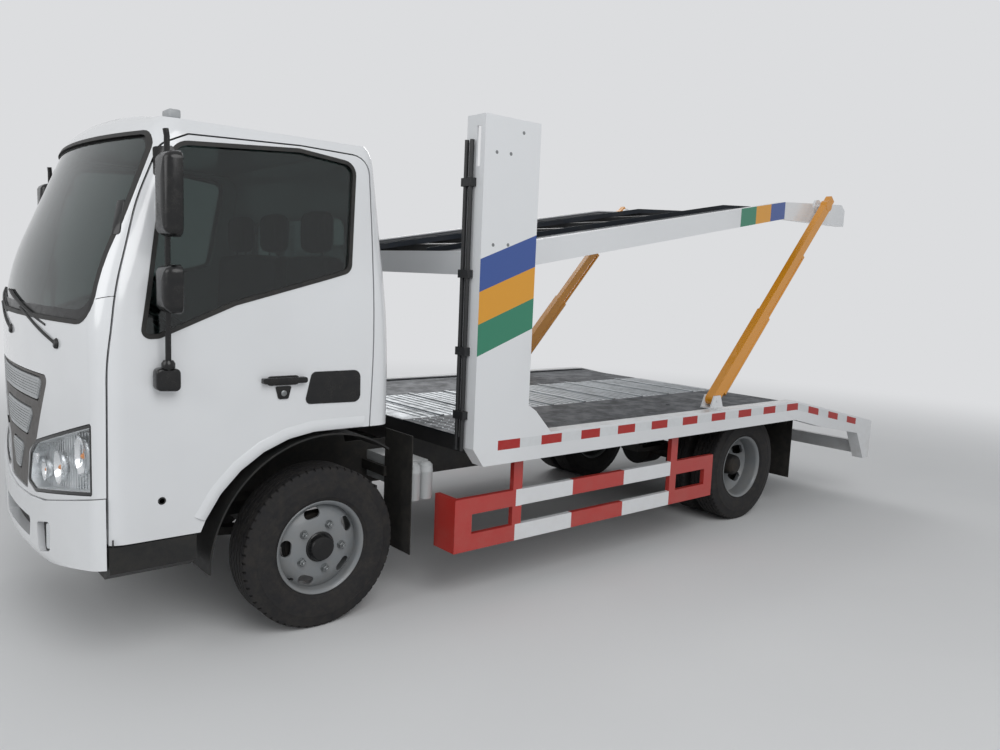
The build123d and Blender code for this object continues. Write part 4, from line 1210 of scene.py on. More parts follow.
@dataclass
class ReflectorTape:
    """Red and white reflecting tape along the outer face of the lower deck's side rails."""

    start_x: float = 1.049
    block: float = 0.150
    pitch: float = 0.302
    height: float = 0.050
    level_z: float = 0.842
    thickness: float = 0.0006
    kink_x: float = -1.8
    end_x: float = -2.85
    tail_slope: float = 0.2013

    def centre_z(self, x: float) -> float:
        """Gives the height of the tape's middle at a place."""
        return self.level_z - max(0.0, self.kink_x - x) * self.tail_slope

    def strip(self, front_x: float, rear_x: float, side: Side) -> Piece:
        """Cuts one block of tape."""
        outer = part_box("lower_rails")[1].y * side.value
        half = self.height / 2
        corners = [
            Vector((x, outer, self.centre_z(x) + lift))
            for x, lift in ((front_x, -half), (front_x, half), (rear_x, half), (rear_x, -half))
        ]
        return add_plate("tape", corners, Vector((0, -side.value * self.thickness, 0)))

    def dress(self) -> None:
        """Lays the blocks on both rails."""
        for side in Side:
            for shift, finish, word in ((0.0, TAPE_RED, "red"), (self.block, TAPE_WHITE, "white")):
                blocks = []
                front_x = self.start_x - shift
                while front_x - self.block > self.end_x:
                    rear_x = front_x - self.block
                    kink = [self.kink_x] if rear_x < self.kink_x < front_x else []
                    ends = [front_x, *kink, rear_x]
                    blocks += [self.strip(a, b, side) for a, b in zip(ends, ends[1:])]
                    front_x -= self.pitch
                tape = joined(blocks, f"tape_{word}_{side.tag}")
                tape.data.transform(Matrix.Translation(ACROSS * side.value * self.thickness * 0.5))
                settle(tape, finish, "chassis")


# Outlines on the cab's skin


def rounded(radius: float, *points: tuple[float, float]) -> Corners:
    """Gives corners that share one radius."""
    return [(across, up, radius) for across, up in points]


def round_corners(corners: Corners, inset: float = 0.0, steps: int = 6) -> Flat:
    """Turns corners with radii into a closed outline's points.

    Args:
        corners: Across, up and radius of each corner, in order round the outline.
        inset: How far the outline is drawn in.
        steps: How many points each round corner has, less one.

    Returns:
        The outline's points.
    """
    flat = [Vector((across, up)) for across, up, _ in corners]
    area = sum(a.x * b.y - b.x * a.y for a, b in zip(flat, flat[1:] + flat[:1]))
    turn = 1.0 if area > 0 else -1.0
    points = []
    for index, (across, up, radius) in enumerate(corners):
        here, before, after = flat[index], flat[index - 1], flat[(index + 1) % len(flat)]
        into, out = (here - before).normalized(), (after - here).normalized()
        bend = math.acos(max(-1.0, min(1.0, into.dot(out))))
        if bend < 0.02:
            normal = Vector((-into.y, into.x)) * turn
            points.append(tuple(here + normal * inset))
            continue
        inward = (out - into).normalized() * (1 if (into.x * out.y - into.y * out.x) * turn > 0 else -1)
        corner = here + inward * (inset / math.cos(bend / 2))
        bent = max(radius - inset, 0.0)
        if bent < 0.001:
            points.append(tuple(corner))
            continue
        reach = bent * math.tan(bend / 2)
        centre = corner + inward * (bent / math.cos(bend / 2))
        start, end = corner - into * reach, corner + out * reach
        first = math.atan2(start.y - centre.y, start.x - centre.x)
        swing = math.atan2(end.y - centre.y, end.x - centre.x) - first
        swing = (swing + math.pi) % math.tau - math.pi
        angles = [first + swing * k / steps for k in range(steps + 1)]
        points += [(centre.x + bent * math.cos(a), centre.y + bent * math.sin(a)) for a in angles]
    return points


def refined(points: Flat, pitch: float) -> Flat:
    """Adds points along a closed outline, so that none of its steps is longer than the pitch."""
    finer = []
    for (x0, y0), (x1, y1) in zip(points, points[1:] + points[:1]):
        count = max(1, math.ceil(math.hypot(x1 - x0, y1 - y0) / pitch))
        finer += [(x0 + (x1 - x0) * k / count, y0 + (y1 - y0) * k / count) for k in range(count)]
    return finer


def arc(middle: tuple[float, float], radius: float, end: float, steps: int) -> Flat:
    """Gives an arc's points, turning forward from straight up."""
    angles = [end * k / steps for k in range(steps + 1)]
    return [(middle[0] + radius * math.sin(a), middle[1] + radius * math.cos(a)) for a in angles]


def add_band(name: str, rows: list[list[Vector]], closed: bool = False, thickness: float = 0.0) -> Piece:
    """Adds a sheet through rows of points.

    Args:
        name: The piece's name.
        rows: Rows of points, all of one length.
        closed: Whether each row runs round to its own start.
        thickness: The sheet's thickness, or 0.

    Returns:
        The new piece.
    """
    across = [row + row[:1] for row in rows] if closed else rows
    deselect()
    bpy.ops.mesh.primitive_grid_add(x_subdivisions=len(across[0]) - 1, y_subdivisions=len(across) - 1)
    piece = named(bpy.context.active_object, name)
    for vertex, point in zip(piece.data.vertices, [point for row in across for point in row]):
        vertex.co = point
    with editing():
        bpy.ops.mesh.remove_doubles(threshold=0.00002)
        bpy.ops.mesh.normals_make_consistent(inside=False)
    if thickness:
        add_modifier(piece, "SOLIDIFY", thickness=thickness, offset=0.0)
    return piece


# Cab


def carve(piece: Piece, tool: Piece, way: str = "DIFFERENCE") -> Piece:
    """Cuts a piece by another, or keeps what they share, and uses the tool up.

    Args:
        piece: The piece that is shaped.
        tool: The closed solid that shapes it.
        way: DIFFERENCE, INTERSECT or UNION.

    Returns:
        The shaped piece.
    """
    add_modifier(piece, "BOOLEAN", object=tool, operation=way, solver="EXACT")
    bpy.data.objects.remove(tool)
    return piece


def side_block(
    corners: Corners, side: Side, inset: float = 0.0, reach: float = 0.5, start: float = 0.6
) -> Piece:
    """Extrudes an outline drawn as along and up through one side wall of the cab.

    Args:
        corners: The outline's corners with their radii.
        side: The cab's side.
        inset: How far the outline is drawn in.
        reach: How far it is extruded.
        start: How far out from the middle it starts.

    Returns:
        The block.
    """
    flat = round_corners(corners, inset)
    return add_sideways("side_block", flat, side.value * start, side.value * reach)


def nose_block(corners: Corners, inset: float = 0.0, start: float = 2.6, reach: float = 0.6) -> Piece:
    """Extrudes an outline drawn as across and up through the cab's front.

    Args:
        corners: The outline's corners with their radii.
        inset: How far the outline is drawn in.
        start: The X where it starts.
        reach: How far it is extruded.

    Returns:
        The block.
    """
    return add_forward("nose_block", round_corners(corners, inset), start, reach)


def both_sides(corners: Corners) -> Corners:
    """Closes half an outline, drawn from one side's top to the middle, with its mirror image."""
    return corners + [(-across, up, radius) for across, up, radius in reversed(corners)]


@dataclass
class CabForm:
    """The cab's skin: a bowed front with round corners, walls that lean in, and a domed roof."""

    half_width: float = 0.940
    front_x: float = 2.985
    rear_x: float = 1.5635
    nose_x: float = 2.9975
    corner_radius: float = 0.112
    rear_radius: float = 0.070
    low_turn: float = 76.0
    high_turn: float = 72.0
    side_lean: float = 9.6
    side_lean_from: float = 1.18
    side_lean_blend: float = 0.48
    rear_lean: float = 2.0
    screen_lean: float = 23.0
    screen_from: float = 1.42
    screen_blend: float = 0.40
    roof_edge: float = 2.185
    roof_rise: float = 0.142
    roof_round: float = 0.100
    crown_x: float = 2.25
    crown_top: float = 2.326
    crown_middle: float = 2.322
    crown_bends: tuple[float, float, float] = (0.080, 0.058, 0.0752)
    crown_blend: float = 0.012
    arch_centre: tuple[float, float] = (1.930, 0.3712)
    arch_radius: float = 0.5938
    door_front_x: float = 2.836
    rear_floor: float = 0.965
    floor: float = 0.585
    wall: float = 0.050
    bumper_edge: tuple[tuple[float, float], ...] = (
        (1.000, 0.795), (0.916, 0.776), (0.451, 0.677), (0.266, 0.656), (0.0, 0.644),
    )

    def plan(
        self, z: float, front_x: float, half_width: float, rear_x: float, turn: float, inset: float
    ) -> list[Vector]:
        """Gives the rounded plan of the cab or its bumper at one height.

        Args:
            z: The height.
            front_x: The skin's front at the middle.
            half_width: The skin's half width.
            rear_x: The skin's rear.
            turn: How far the front corner turns, in degrees.
            inset: How far the plan is drawn in from the skin.

        Returns:
            The closed outline's points, the same count at every height.
        """
        bend, full = math.radians(turn), self.corner_radius
        corner_y = half_width - full
        end_y = corner_y + full * math.cos(bend)
        corner_x = front_x - end_y * math.tan((math.pi / 2 - bend) / 2) - full * math.sin(bend)
        radius = max(full - inset, 0.002)
        rear_round = max(self.rear_radius - inset, 0.006)
        side_y, rear = half_width - inset, rear_x + inset
        half = [(rear, side_y * share) for share in (0.2, 0.5, 0.8)]
        quarter = [k * math.pi / 10 for k in range(6)]
        half += [
            (rear + rear_round * (1 - math.cos(a)), side_y - rear_round * (1 - math.sin(a))) for a in quarter
        ]
        start = rear + rear_round
        half += [(start + (corner_x - start) * k / 16, side_y) for k in range(1, 16)]
        half += arc((corner_x, corner_y), radius, bend, 8)
        end_x, end_y = half[-1]
        rise = front_x - inset - end_x
        bow = (end_y ** 2 + rise ** 2) / (2 * rise)
        swing = math.asin(end_y / bow)
        front = front_x - inset
        bent = [swing * k / 9 for k in range(8, 0, -1)]
        half += [(front - bow * (1 - math.cos(a)), bow * math.sin(a)) for a in bent]
        outline = half + [(front, 0.0)] + [(x, -y) for x, y in reversed(half)]
        return [Vector((x, y, z)) for x, y in outline]

    def lean_run(self, z: float, start: float, blend: float) -> float:
        """Gives how far a leaning wall has risen, with a soft start over the blend."""
        bent = min(max(z - start, 0.0), blend)
        return bent ** 2 / (2 * blend) + max(0.0, z - start - blend)

    def ring(self, z: float, inset: float) -> list[Vector]:
        """Gives the walls' plan at one height."""
        side_run = self.lean_run(z, self.side_lean_from, self.side_lean_blend)
        front_run = self.lean_run(z, self.screen_from, self.screen_blend)
        share = min(max((z - self.screen_from) / self.screen_blend, 0.0), 1.0)
        return self.plan(
            z,
            self.front_x - front_run * math.tan(math.radians(self.screen_lean)),
            self.half_width - side_run * math.tan(math.radians(self.side_lean)),
            self.rear_x + side_run * math.tan(math.radians(self.rear_lean)),
            self.low_turn + share * (self.high_turn - self.low_turn),
            inset,
        )

    def crown(self, x: float, y: float) -> float:
        """Gives the roof's height: two shallow arcs, along and across, that blend where they meet."""
        bend = self.crown_bends[0] if x > self.crown_x else self.crown_bends[1]
        along = self.crown_top - (x - self.crown_x) ** 2 * bend
        across = self.crown_middle - y ** 2 * self.crown_bends[2]
        near = max(0.0, self.crown_blend - abs(along - across))
        return min(along, across) - near ** 2 / (4 * self.crown_blend)

    def tube(self, inset: float, low: float = 0.40) -> Piece:
        """Builds the closed volume inside the walls and under the roof.

        Args:
            inset: How far it is drawn in from the skin.
            low: Its lower end.

        Returns:
            The closed volume.
        """
        heights = [low, 0.55, 0.70, 0.85, 1.0, 1.10, 1.18]
        heights += [1.18 + 0.06 * k for k in range(1, 12)] + [1.92, 2.0, 2.06, 2.12]
        rows = [self.ring(z, inset) for z in heights]
        for step in range(7):
            angle = math.pi / 2 * step / 6
            drawn = inset + (self.roof_round - inset) * (1 - math.cos(angle))
            rows.append(self.ring(self.roof_edge + (self.roof_rise - inset) * math.sin(angle), drawn))
        middle = Vector(((rows[-1][0].x + self.front_x - 0.45) / 2, 0, 0))
        top = rows[-1]
        for share in (0.93, 0.8, 0.6, 0.4, 0.2, 0.02):
            rows.append([middle + (point - middle) * share for point in top])
        for row in rows[-13:]:
            for point in row:
                limit = self.crown(point.x, point.y) - inset
                point.z = min(point.z if row in rows[:-6] else 9.0, limit)
        return self.closed("cab_tube", rows)

    def ring_at(self, z: float, inset: float) -> list[Vector]:
        """Gives the plan at any height, the rounded roof edge included."""
        if z <= self.roof_edge:
            return self.ring(z, inset)
        sine = min(1.0, (z - self.roof_edge) / (self.roof_rise - inset))
        return self.ring(z, inset + (self.roof_round - inset) * (1 - math.sqrt(1 - sine * sine)))

    def front_point(self, y: float, z: float, lift: float = 0.0) -> Vector:
        """Gives the point of the skin's front at a place across and up, lifted off it."""
        nose = sorted((p for p in self.ring_at(z, -lift) if p.x > 2.3), key=lambda p: p.y)
        for a, b in zip(nose, nose[1:]):
            if a.y <= y <= b.y:
                return a.lerp(b, (y - a.y) / max(b.y - a.y, 1e-6))
        raise ValueError(f"no skin at y {y}, z {z}")

    def side_point(self, x: float, z: float, side: Side, lift: float = 0.0) -> Vector:
        """Gives the point of the skin's side at a place along and up, lifted off it."""
        flank = sorted((p for p in self.ring_at(z, -lift) if p.y > 0.5), key=lambda p: p.x)
        for a, b in zip(flank, flank[1:]):
            if a.x <= x <= b.x:
                place = a.lerp(b, (x - a.x) / max(b.x - a.x, 1e-6))
                return Vector((x, place.y * side.value, z))
        raise ValueError(f"no skin at x {x}, z {z}")

    def closed(self, name: str, rows: list[list[Vector]]) -> Piece:
        """Makes a closed volume through rings of points, with its ends filled."""
        piece = add_band(name, rows, closed=True)
        with editing():
            bpy.ops.mesh.fill_holes(sides=0)
            bpy.ops.mesh.normals_make_consistent(inside=False)
        return piece

    def under(self, inset: float) -> Piece:
        """Builds the space below the stepped floor and the wheel arch."""
        radius, low = self.arch_radius + inset, self.floor + inset
        bend = arc(self.arch_centre, radius, math.acos((low - self.arch_centre[1]) / radius), 14)
        flat = [(1.2, 0.2), (1.2, self.rear_floor + inset)] + bend + [(3.3, low), (3.3, 0.2)]
        return add_sideways("under", flat, -1.2, 2.4)

    def below_nose(self, inset: float) -> Piece:
        """Builds the space that the bumper takes, in front of the doors."""
        edge = [(y, z + inset) for y, z in self.bumper_edge]
        edge += [(-y, z) for y, z in reversed(edge[:-1])] + [(-1.0, 0.2), (1.0, 0.2)]
        return add_forward("below_nose", edge, self.door_front_x - inset, 0.3)

    def form(self, inset: float) -> Piece:
        """Builds the whole cab volume, drawn in from its skin."""
        form = carve(self.tube(inset), self.under(inset))
        return carve(form, self.below_nose(inset))

    def layer(self, name: str, block: Piece, outer: float, inner: float) -> Piece:
        """Keeps what of a block lies between two depths under the skin.

        Args:
            name: The piece's name.
            block: The block, which is used up.
            outer: The outer face's depth.
            inner: The inner face's depth.

        Returns:
            The piece.
        """
        named(block, name)
        carve(block, self.tube(outer, 0.40), "INTERSECT")
        return carve(block, self.tube(inner, 0.38))


CAB = CabForm()
DOOR_OUTLINE: Corners = [
    (2.836, 0.500, 0), (2.830, 1.300, 1.2), (2.790, 1.590, 1.2), (2.690, 1.930, 1.2), (2.590, 2.160, 0.080),
    (2.480, 2.212, 0), (1.980, 2.232, 0), (1.640, 2.222, 0.080), (1.650, 1.900, 0), (1.690, 0.900, 0),
    (1.690, 0.500, 0),
]
WINDOW_OUTLINE: Corners = [
    (2.716, 1.392, 0.035), (2.640, 1.396, 0.060), (2.326, 1.528, 0), (1.878, 1.652, 0), (1.770, 1.684, 0.055),
    (1.706, 2.190, 0.060), (1.990, 2.222, 0), (2.540, 2.184, 0.090), (2.604, 2.010, 0),
]
SCREEN_OUTLINE = both_sides([(0.868, 1.441, 0.105), (0.828, 1.850, 0), (0.772, 2.222, 0.090)])
REAR_WINDOW = rounded(0.06, *rectangle(-0.56, 1.50, 0.56, 1.95))
GRILLE_OUTLINE = both_sides(
    [
        (0.484, 1.205, 0.020), (0.404, 1.060, 0.2), (0.334, 0.924, 0.02), (0.230, 0.852, 0.02),
        (0.184, 0.706, 0.01), (0.180, 0.676, 0.01),
    ]
)
LAMP_OUTLINE: Corners = [
    (0.862, 1.066, 0.012), (0.862, 0.776, 0.014), (0.305, 0.680, 0.025), (0.190, 0.706, 0.020),
    (0.236, 0.850, 0.025), (0.325, 0.914, 0),
]
FOG_OUTLINE = [(0.372, 0.430, 0.020), (0.508, 0.468, 0.024), (0.514, 0.596, 0.024), (0.356, 0.562, 0.020)]
FOG_LAMP_OUTLINE = [
    (0.436, 0.456, 0.016), (0.498, 0.474, 0.020), (0.504, 0.586, 0.020), (0.440, 0.572, 0.016),
]


def mirrored_corners(corners: Corners, side: Side) -> Corners:
    """Gives a nose outline's corners on the wanted side."""
    return [(across * side.value, up, radius) for across, up, radius in corners]


@dataclass
class CabSkin:
    """The cab's panels: shell, doors with their arch band, glass and its seals."""

    door_gap: float = 0.007
    glass_depth: float = 0.012
    glass_thickness: float = 0.006
    seal_width: float = 0.018
    flare: float = 0.007
    band_radius: float = 0.594

    def screen_block(self) -> Piece:
        """Extrudes the windscreen's outline through the leaning front."""
        return nose_block(SCREEN_OUTLINE, start=2.3, reach=0.8)

    def shell(self) -> None:
        """Cuts the cab's shell and its openings."""
        shell = CAB.form(0.0)
        room = CAB.form(CAB.wall)
        carve(shell, add_forward("tunnel", rectangle(-0.43, 0.5, 0.43, 0.76), 2.30, 0.60))
        carve(room, add_forward("tunnel_cover", rectangle(-0.48, 0.4, 0.48, 0.81), 2.25, 0.70))
        carve(shell, room)
        for side in Side:
            hole = carve(side_block(DOOR_OUTLINE, side, -self.door_gap), CAB.tube(CAB.wall + 0.008))
            carve(shell, hole)
            carve(shell, nose_block(mirrored_corners(LAMP_OUTLINE, side)))
        carve(shell, self.screen_block())
        carve(shell, nose_block(REAR_WINDOW, start=1.4, reach=0.4))
        carve(shell, nose_block(GRILLE_OUTLINE, -0.006))
        named(shell, "cab_panels")
        settle(shell, CAB_ENAMEL, "cab", smooth=28)
        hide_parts("cab_shell")

    def door(self, side: Side) -> None:
        """Cuts a door's panel, with the pressed band over the wheel arch."""
        door = carve(CAB.form(0.0), side_block(DOOR_OUTLINE, side), "INTERSECT")
        carve(door, CAB.tube(CAB.wall, 0.38))
        carve(door, side_block(WINDOW_OUTLINE, side))
        named(door, f"door_panel_{side.tag}")
        settle(door, CAB_ENAMEL, f"door_{side.tag}", smooth=28)
        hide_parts(f"door_{side.tag}")
        x0, z0 = CAB.arch_centre
        rows = []
        for reach, lift in ((0.0005, 0.001), (0.004, self.flare), (0.034, self.flare), (0.052, 0.0)):
            row = []
            for turn in [math.radians(angle) for angle in range(-20, 65, 12)]:
                away = self.band_radius + reach
                x = min(x0 + away * math.sin(turn), 2.8)
                z = max(z0 + away * math.cos(turn), CAB.rear_floor + reach if turn < 0 else 0.0)
                row.append(Vector((max(x, 1.697), side.value * (CAB.half_width + lift), z)))
            rows.append(row)
        band = add_band(f"arch_band_{side.tag}", rows)
        if band.data.polygons[0].normal.y * side.value < 0:
            band.data.flip_normals()
        settle(band, CAB_ENAMEL, f"door_{side.tag}", smooth=60)

    def glaze(self) -> None:
        """Fits the glass and its seals."""
        inner = self.glass_depth + self.glass_thickness
        screen = CAB.layer("windscreen", self.screen_block(), self.glass_depth, inner)
        rear = CAB.layer("rear_glass", nose_block(REAR_WINDOW, start=1.4, reach=0.4), self.glass_depth, inner)
        glass = joined([screen, rear], "windscreen_and_rear_glass")
        settle(glass, WINDOW_GLASS, "cab")
        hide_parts("cab_glass")
        seal = carve(self.screen_block(), nose_block(SCREEN_OUTLINE, self.seal_width, start=2.2, reach=1.0))
        settle(CAB.layer("windscreen_seal", seal, -0.002, 0.016), SEAL_RUBBER, "cab")
        lifts = [0.055 if z < 1.6 else -0.03 if z > 2.1 else 0.0 for _, z, _ in SCREEN_OUTLINE]
        clear = [(y * 0.965, z + lift, radius) for (y, z, radius), lift in zip(SCREEN_OUTLINE, lifts)]
        border = carve(self.screen_block(), nose_block(clear, start=2.2, reach=1.0))
        settle(CAB.layer("screen_border", border, 0.0105, 0.0115), CERAMIC_BORDER, "cab")
        for side in Side:
            window = side_block(WINDOW_OUTLINE, side)
            pane = CAB.layer(f"door_pane_{side.tag}", window, self.glass_depth, inner)
            settle(pane, WINDOW_GLASS, f"door_{side.tag}")
            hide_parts(f"door_glass_{side.tag}")
            inside = side_block(WINDOW_OUTLINE, side, self.seal_width, reach=0.6, start=0.55)
            seal = carve(side_block(WINDOW_OUTLINE, side), inside)
            ring = CAB.layer(f"window_seal_{side.tag}", seal, -0.002, 0.016)
            settle(ring, SEAL_RUBBER, f"door_{side.tag}")

    def dress(self) -> None:
        """Builds the panels and the glass."""
        self.shell()
        for side in Side:
            self.door(side)
        self.glaze()


@dataclass
class CabNose:
    """The nose: grille with pale ribbed slats, deep headlamps and the bumper with its lamps."""

    slats: tuple[tuple[float, float, float, float], ...] = (
        (1.093, 1.187, 0.350, 0.410), (0.919, 1.039, 0.186, 0.292), (0.737, 0.862, 0.040, 0.128),
    )
    slat_corner: float = 0.022
    rib_pitch: float = 0.012
    lamp_depth: float = 0.085
    lamp_edge: float = 0.015
    lamp_bowls: tuple[Corner, ...] = (
        (0.680, 0.900, 0.080), (0.470, 0.815, 0.068), (0.310, 0.775, 0.044), (0.800, 0.985, 0.030),
    )

    def longer(self, corners: Corners, inset: float) -> Piece:
        """Extrudes an outline further than a plain nose block, so that it cuts right through one."""
        return nose_block(corners, inset, start=2.5, reach=0.8)

    def slat_outline(self, row: tuple[float, float, float, float]) -> Corners:
        """Gives a slat's corners."""
        low, high, low_half, high_half = row
        corners = [(-low_half, low), (low_half, low), (high_half, high), (-high_half, high)]
        return rounded(self.slat_corner, *corners)

    def ribs(self, row: tuple[float, float, float, float]) -> Piece:
        """Cuts the level ribs on a slat's face."""
        low, high, _, half = row
        count = int((high - low - 0.012) / self.rib_pitch)
        start = (low + high - (count - 1) * self.rib_pitch) / 2
        rise = self.rib_pitch * 0.28
        levels = [start + k * self.rib_pitch for k in range(count)]
        bars = [add_forward("bar", rectangle(-half, z - rise, half, z + rise), 2.6, 0.6) for z in levels]
        ribs = carve(joined(bars, "ribs"), self.longer(self.slat_outline(row), 0.006), "INTERSECT")
        return CAB.layer("ribs", ribs, 0.0, 0.006)

    def grille(self) -> None:
        """Cuts the grey grille and its slats."""
        grille = CAB.layer("grille_panel", nose_block(GRILLE_OUTLINE), 0.006, 0.046)
        slats = []
        for row in self.slats:
            hollow = carve(nose_block(self.slat_outline(row), -0.008), CAB.tube(0.024, 0.38))
            carve(grille, hollow)
            slats.append(CAB.layer("slat", nose_block(self.slat_outline(row)), 0.003, 0.022))
            slats.append(self.ribs(row))
        settle(grille, GRILLE_GREY, "cab")
        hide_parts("grille")
        slats = joined(slats, "ribbed_slats")
        settle(slats, SLAT_PLASTIC, "cab")
        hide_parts("grille_slats")

    def lamp(self, side: Side) -> Piece:
        """Builds one headlamp's lens, and its housing with reflectors.

        Args:
            side: The lamp's side.

        Returns:
            The lens.
        """
        corners = mirrored_corners(LAMP_OUTLINE, side)
        edge, depth = self.lamp_edge, self.lamp_depth
        lens = CAB.layer("lens", nose_block(corners, edge - 0.004), 0.003, 0.007)
        rim = carve(nose_block(corners, 0.003), self.longer(corners, edge))
        rim = CAB.layer(f"lamp_rim_{side.tag}", rim, 0.001, 0.030)
        settle(rim, GLOSS_BLACK, "cab")
        wall = carve(nose_block(corners, edge - 0.004), self.longer(corners, edge + 0.003))
        wall = CAB.layer("lamp_wall", wall, 0.008, depth)
        back = CAB.layer("lamp_back", nose_block(corners, edge - 0.003), depth - 0.010, depth)
        lines = [(0.20 + 0.025 * k) * side.value for k in range(26)]
        ribs = [add_forward("rib", rectangle(y - 0.004, 0.60, y + 0.004, 1.10), 2.60, 0.5) for y in lines]
        ribs = carve(joined(ribs, "ribs"), self.longer(corners, edge), "INTERSECT")
        ribs = CAB.layer("ribs", ribs, depth - 0.022, depth - 0.008)
        back = joined([wall, back, ribs], f"lamp_back_{side.tag}")
        settle(back, LAMP_BACK, "cab")
        bowls, bulbs = [], []
        for y, z, radius in self.lamp_bowls:
            place = Vector((CAB.front_x - 0.074 - 0.16 * y * y, side.value * y, z))
            bowl = [
                (0.012, 0.0), (radius * 0.5, 0.008), (radius * 0.85, 0.026), (radius, 0.042),
                (radius + 0.005, 0.042), (radius + 0.005, 0.037), (radius * 0.88, 0.018),
                (radius * 0.5, 0.001), (0.012, -0.006),
            ]
            bowls.append(add_turned("bowl", bowl, place, AHEAD, steps=36))
            bulb = [(0, 0.002), (0.012, 0.002), (0.014, 0.018), (0.010, 0.034), (0, 0.040)]
            bulbs.append(add_turned("bulb", bulb, place, AHEAD, steps=18))
        settle(joined(bowls, f"lamp_bowls_{side.tag}"), CHROME, "cab", smooth=40)
        settle(joined(bulbs, f"lamp_bulbs_{side.tag}"), FROSTED_BULB, "cab", smooth=50)
        return lens

    def lamps(self) -> None:
        """Fits both headlamps."""
        lenses = joined([self.lamp(side) for side in Side], "headlamp_lenses")
        settle(lenses, CLEAR_LENS, "cab")
        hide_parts("headlamps")

    def bumper_form(self, *sections: tuple[float, float]) -> Piece:
        """Builds a closed volume inside the bumper's skin, through heights and the insets there."""
        half, rear, turn = CAB.half_width + 0.004, 2.445, CAB.low_turn
        rings = [CAB.plan(z, CAB.nose_x, half, rear, turn, inset) for z, inset in sections]
        return CAB.closed("bumper_form", rings)

    def fitted(self, block: Piece, outer: float, inner: float) -> Piece:
        """Keeps what of a block lies between two depths under the bumper's skin."""
        carve(block, self.bumper_form((0.37, inner), (0.81, inner)))
        return carve(block, self.bumper_form((0.36, outer), (0.82, outer)), "INTERSECT")

    def bumper(self) -> None:
        """Builds the bumper with its air slot and fog lamps."""
        foot = ((0.380, 0.036), (0.395, 0.020), (0.412, 0.010), (0.430, 0.003))
        bumper = named(self.bumper_form(*foot, (0.450, 0.0), (0.60, 0.0), (0.80, 0.0)), "bumper_panel")
        carve(bumper, self.bumper_form((0.370, 0.082), (0.450, 0.045), (0.81, 0.045)))
        carve(bumper, add_forward("rear_cut", rectangle(-1.2, 0.3, 1.2, 0.9), 2.0, 0.845))
        edge = [(y, z - 0.003) for y, z in CAB.bumper_edge]
        above = edge + [(-y, z) for y, z in reversed(edge[:-1])] + [(-1.0, 0.9), (1.0, 0.9)]
        carve(bumper, add_forward("above", above, 2.8, 0.3))
        below = [(1.0, 0.30), (1.0, 0.500), (0.860, 0.476), (0.450, 0.405), (0.380, 0.400)]
        below += [(-y, z) for y, z in reversed(below)]
        carve(bumper, add_forward("below", below, 2.8, 0.3))
        carve(bumper, nose_block(both_sides([(0.250, 0.470, 0.016), (0.262, 0.560, 0.016)])))
        for side in Side:
            recess = nose_block(mirrored_corners(FOG_OUTLINE, side))
            carve(recess, self.bumper_form((0.37, 0.030), (0.81, 0.030)))
            carve(bumper, recess)
        settle(bumper, CAB_ENAMEL, "cab", smooth=28)
        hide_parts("bumper")
        for side in Side:
            liner = self.fitted(nose_block(mirrored_corners(FOG_OUTLINE, side), 0.001), 0.0266, 0.0296)
            settle(liner, BLACK_PLASTIC, "cab")
            lamp = self.fitted(nose_block(mirrored_corners(FOG_LAMP_OUTLINE, side)), 0.009, 0.026)
            named(lamp, f"fog_lamp_{side.tag}")
            soften(lamp, 0.004, 3)
            settle(lamp, LAMP_BACK, "cab")
        slot = rounded(0.01, (-0.27, 0.46), (0.27, 0.46), (0.28, 0.57), (-0.28, 0.57))
        mesh = named(self.fitted(nose_block(slot), 0.046, 0.058), "air_slot_back")
        settle(mesh, BLACK_PLASTIC, "cab")

    def dress(self) -> None:
        """Builds the grille, the lamps and the bumper."""
        self.grille()
        self.lamps()
        self.bumper()


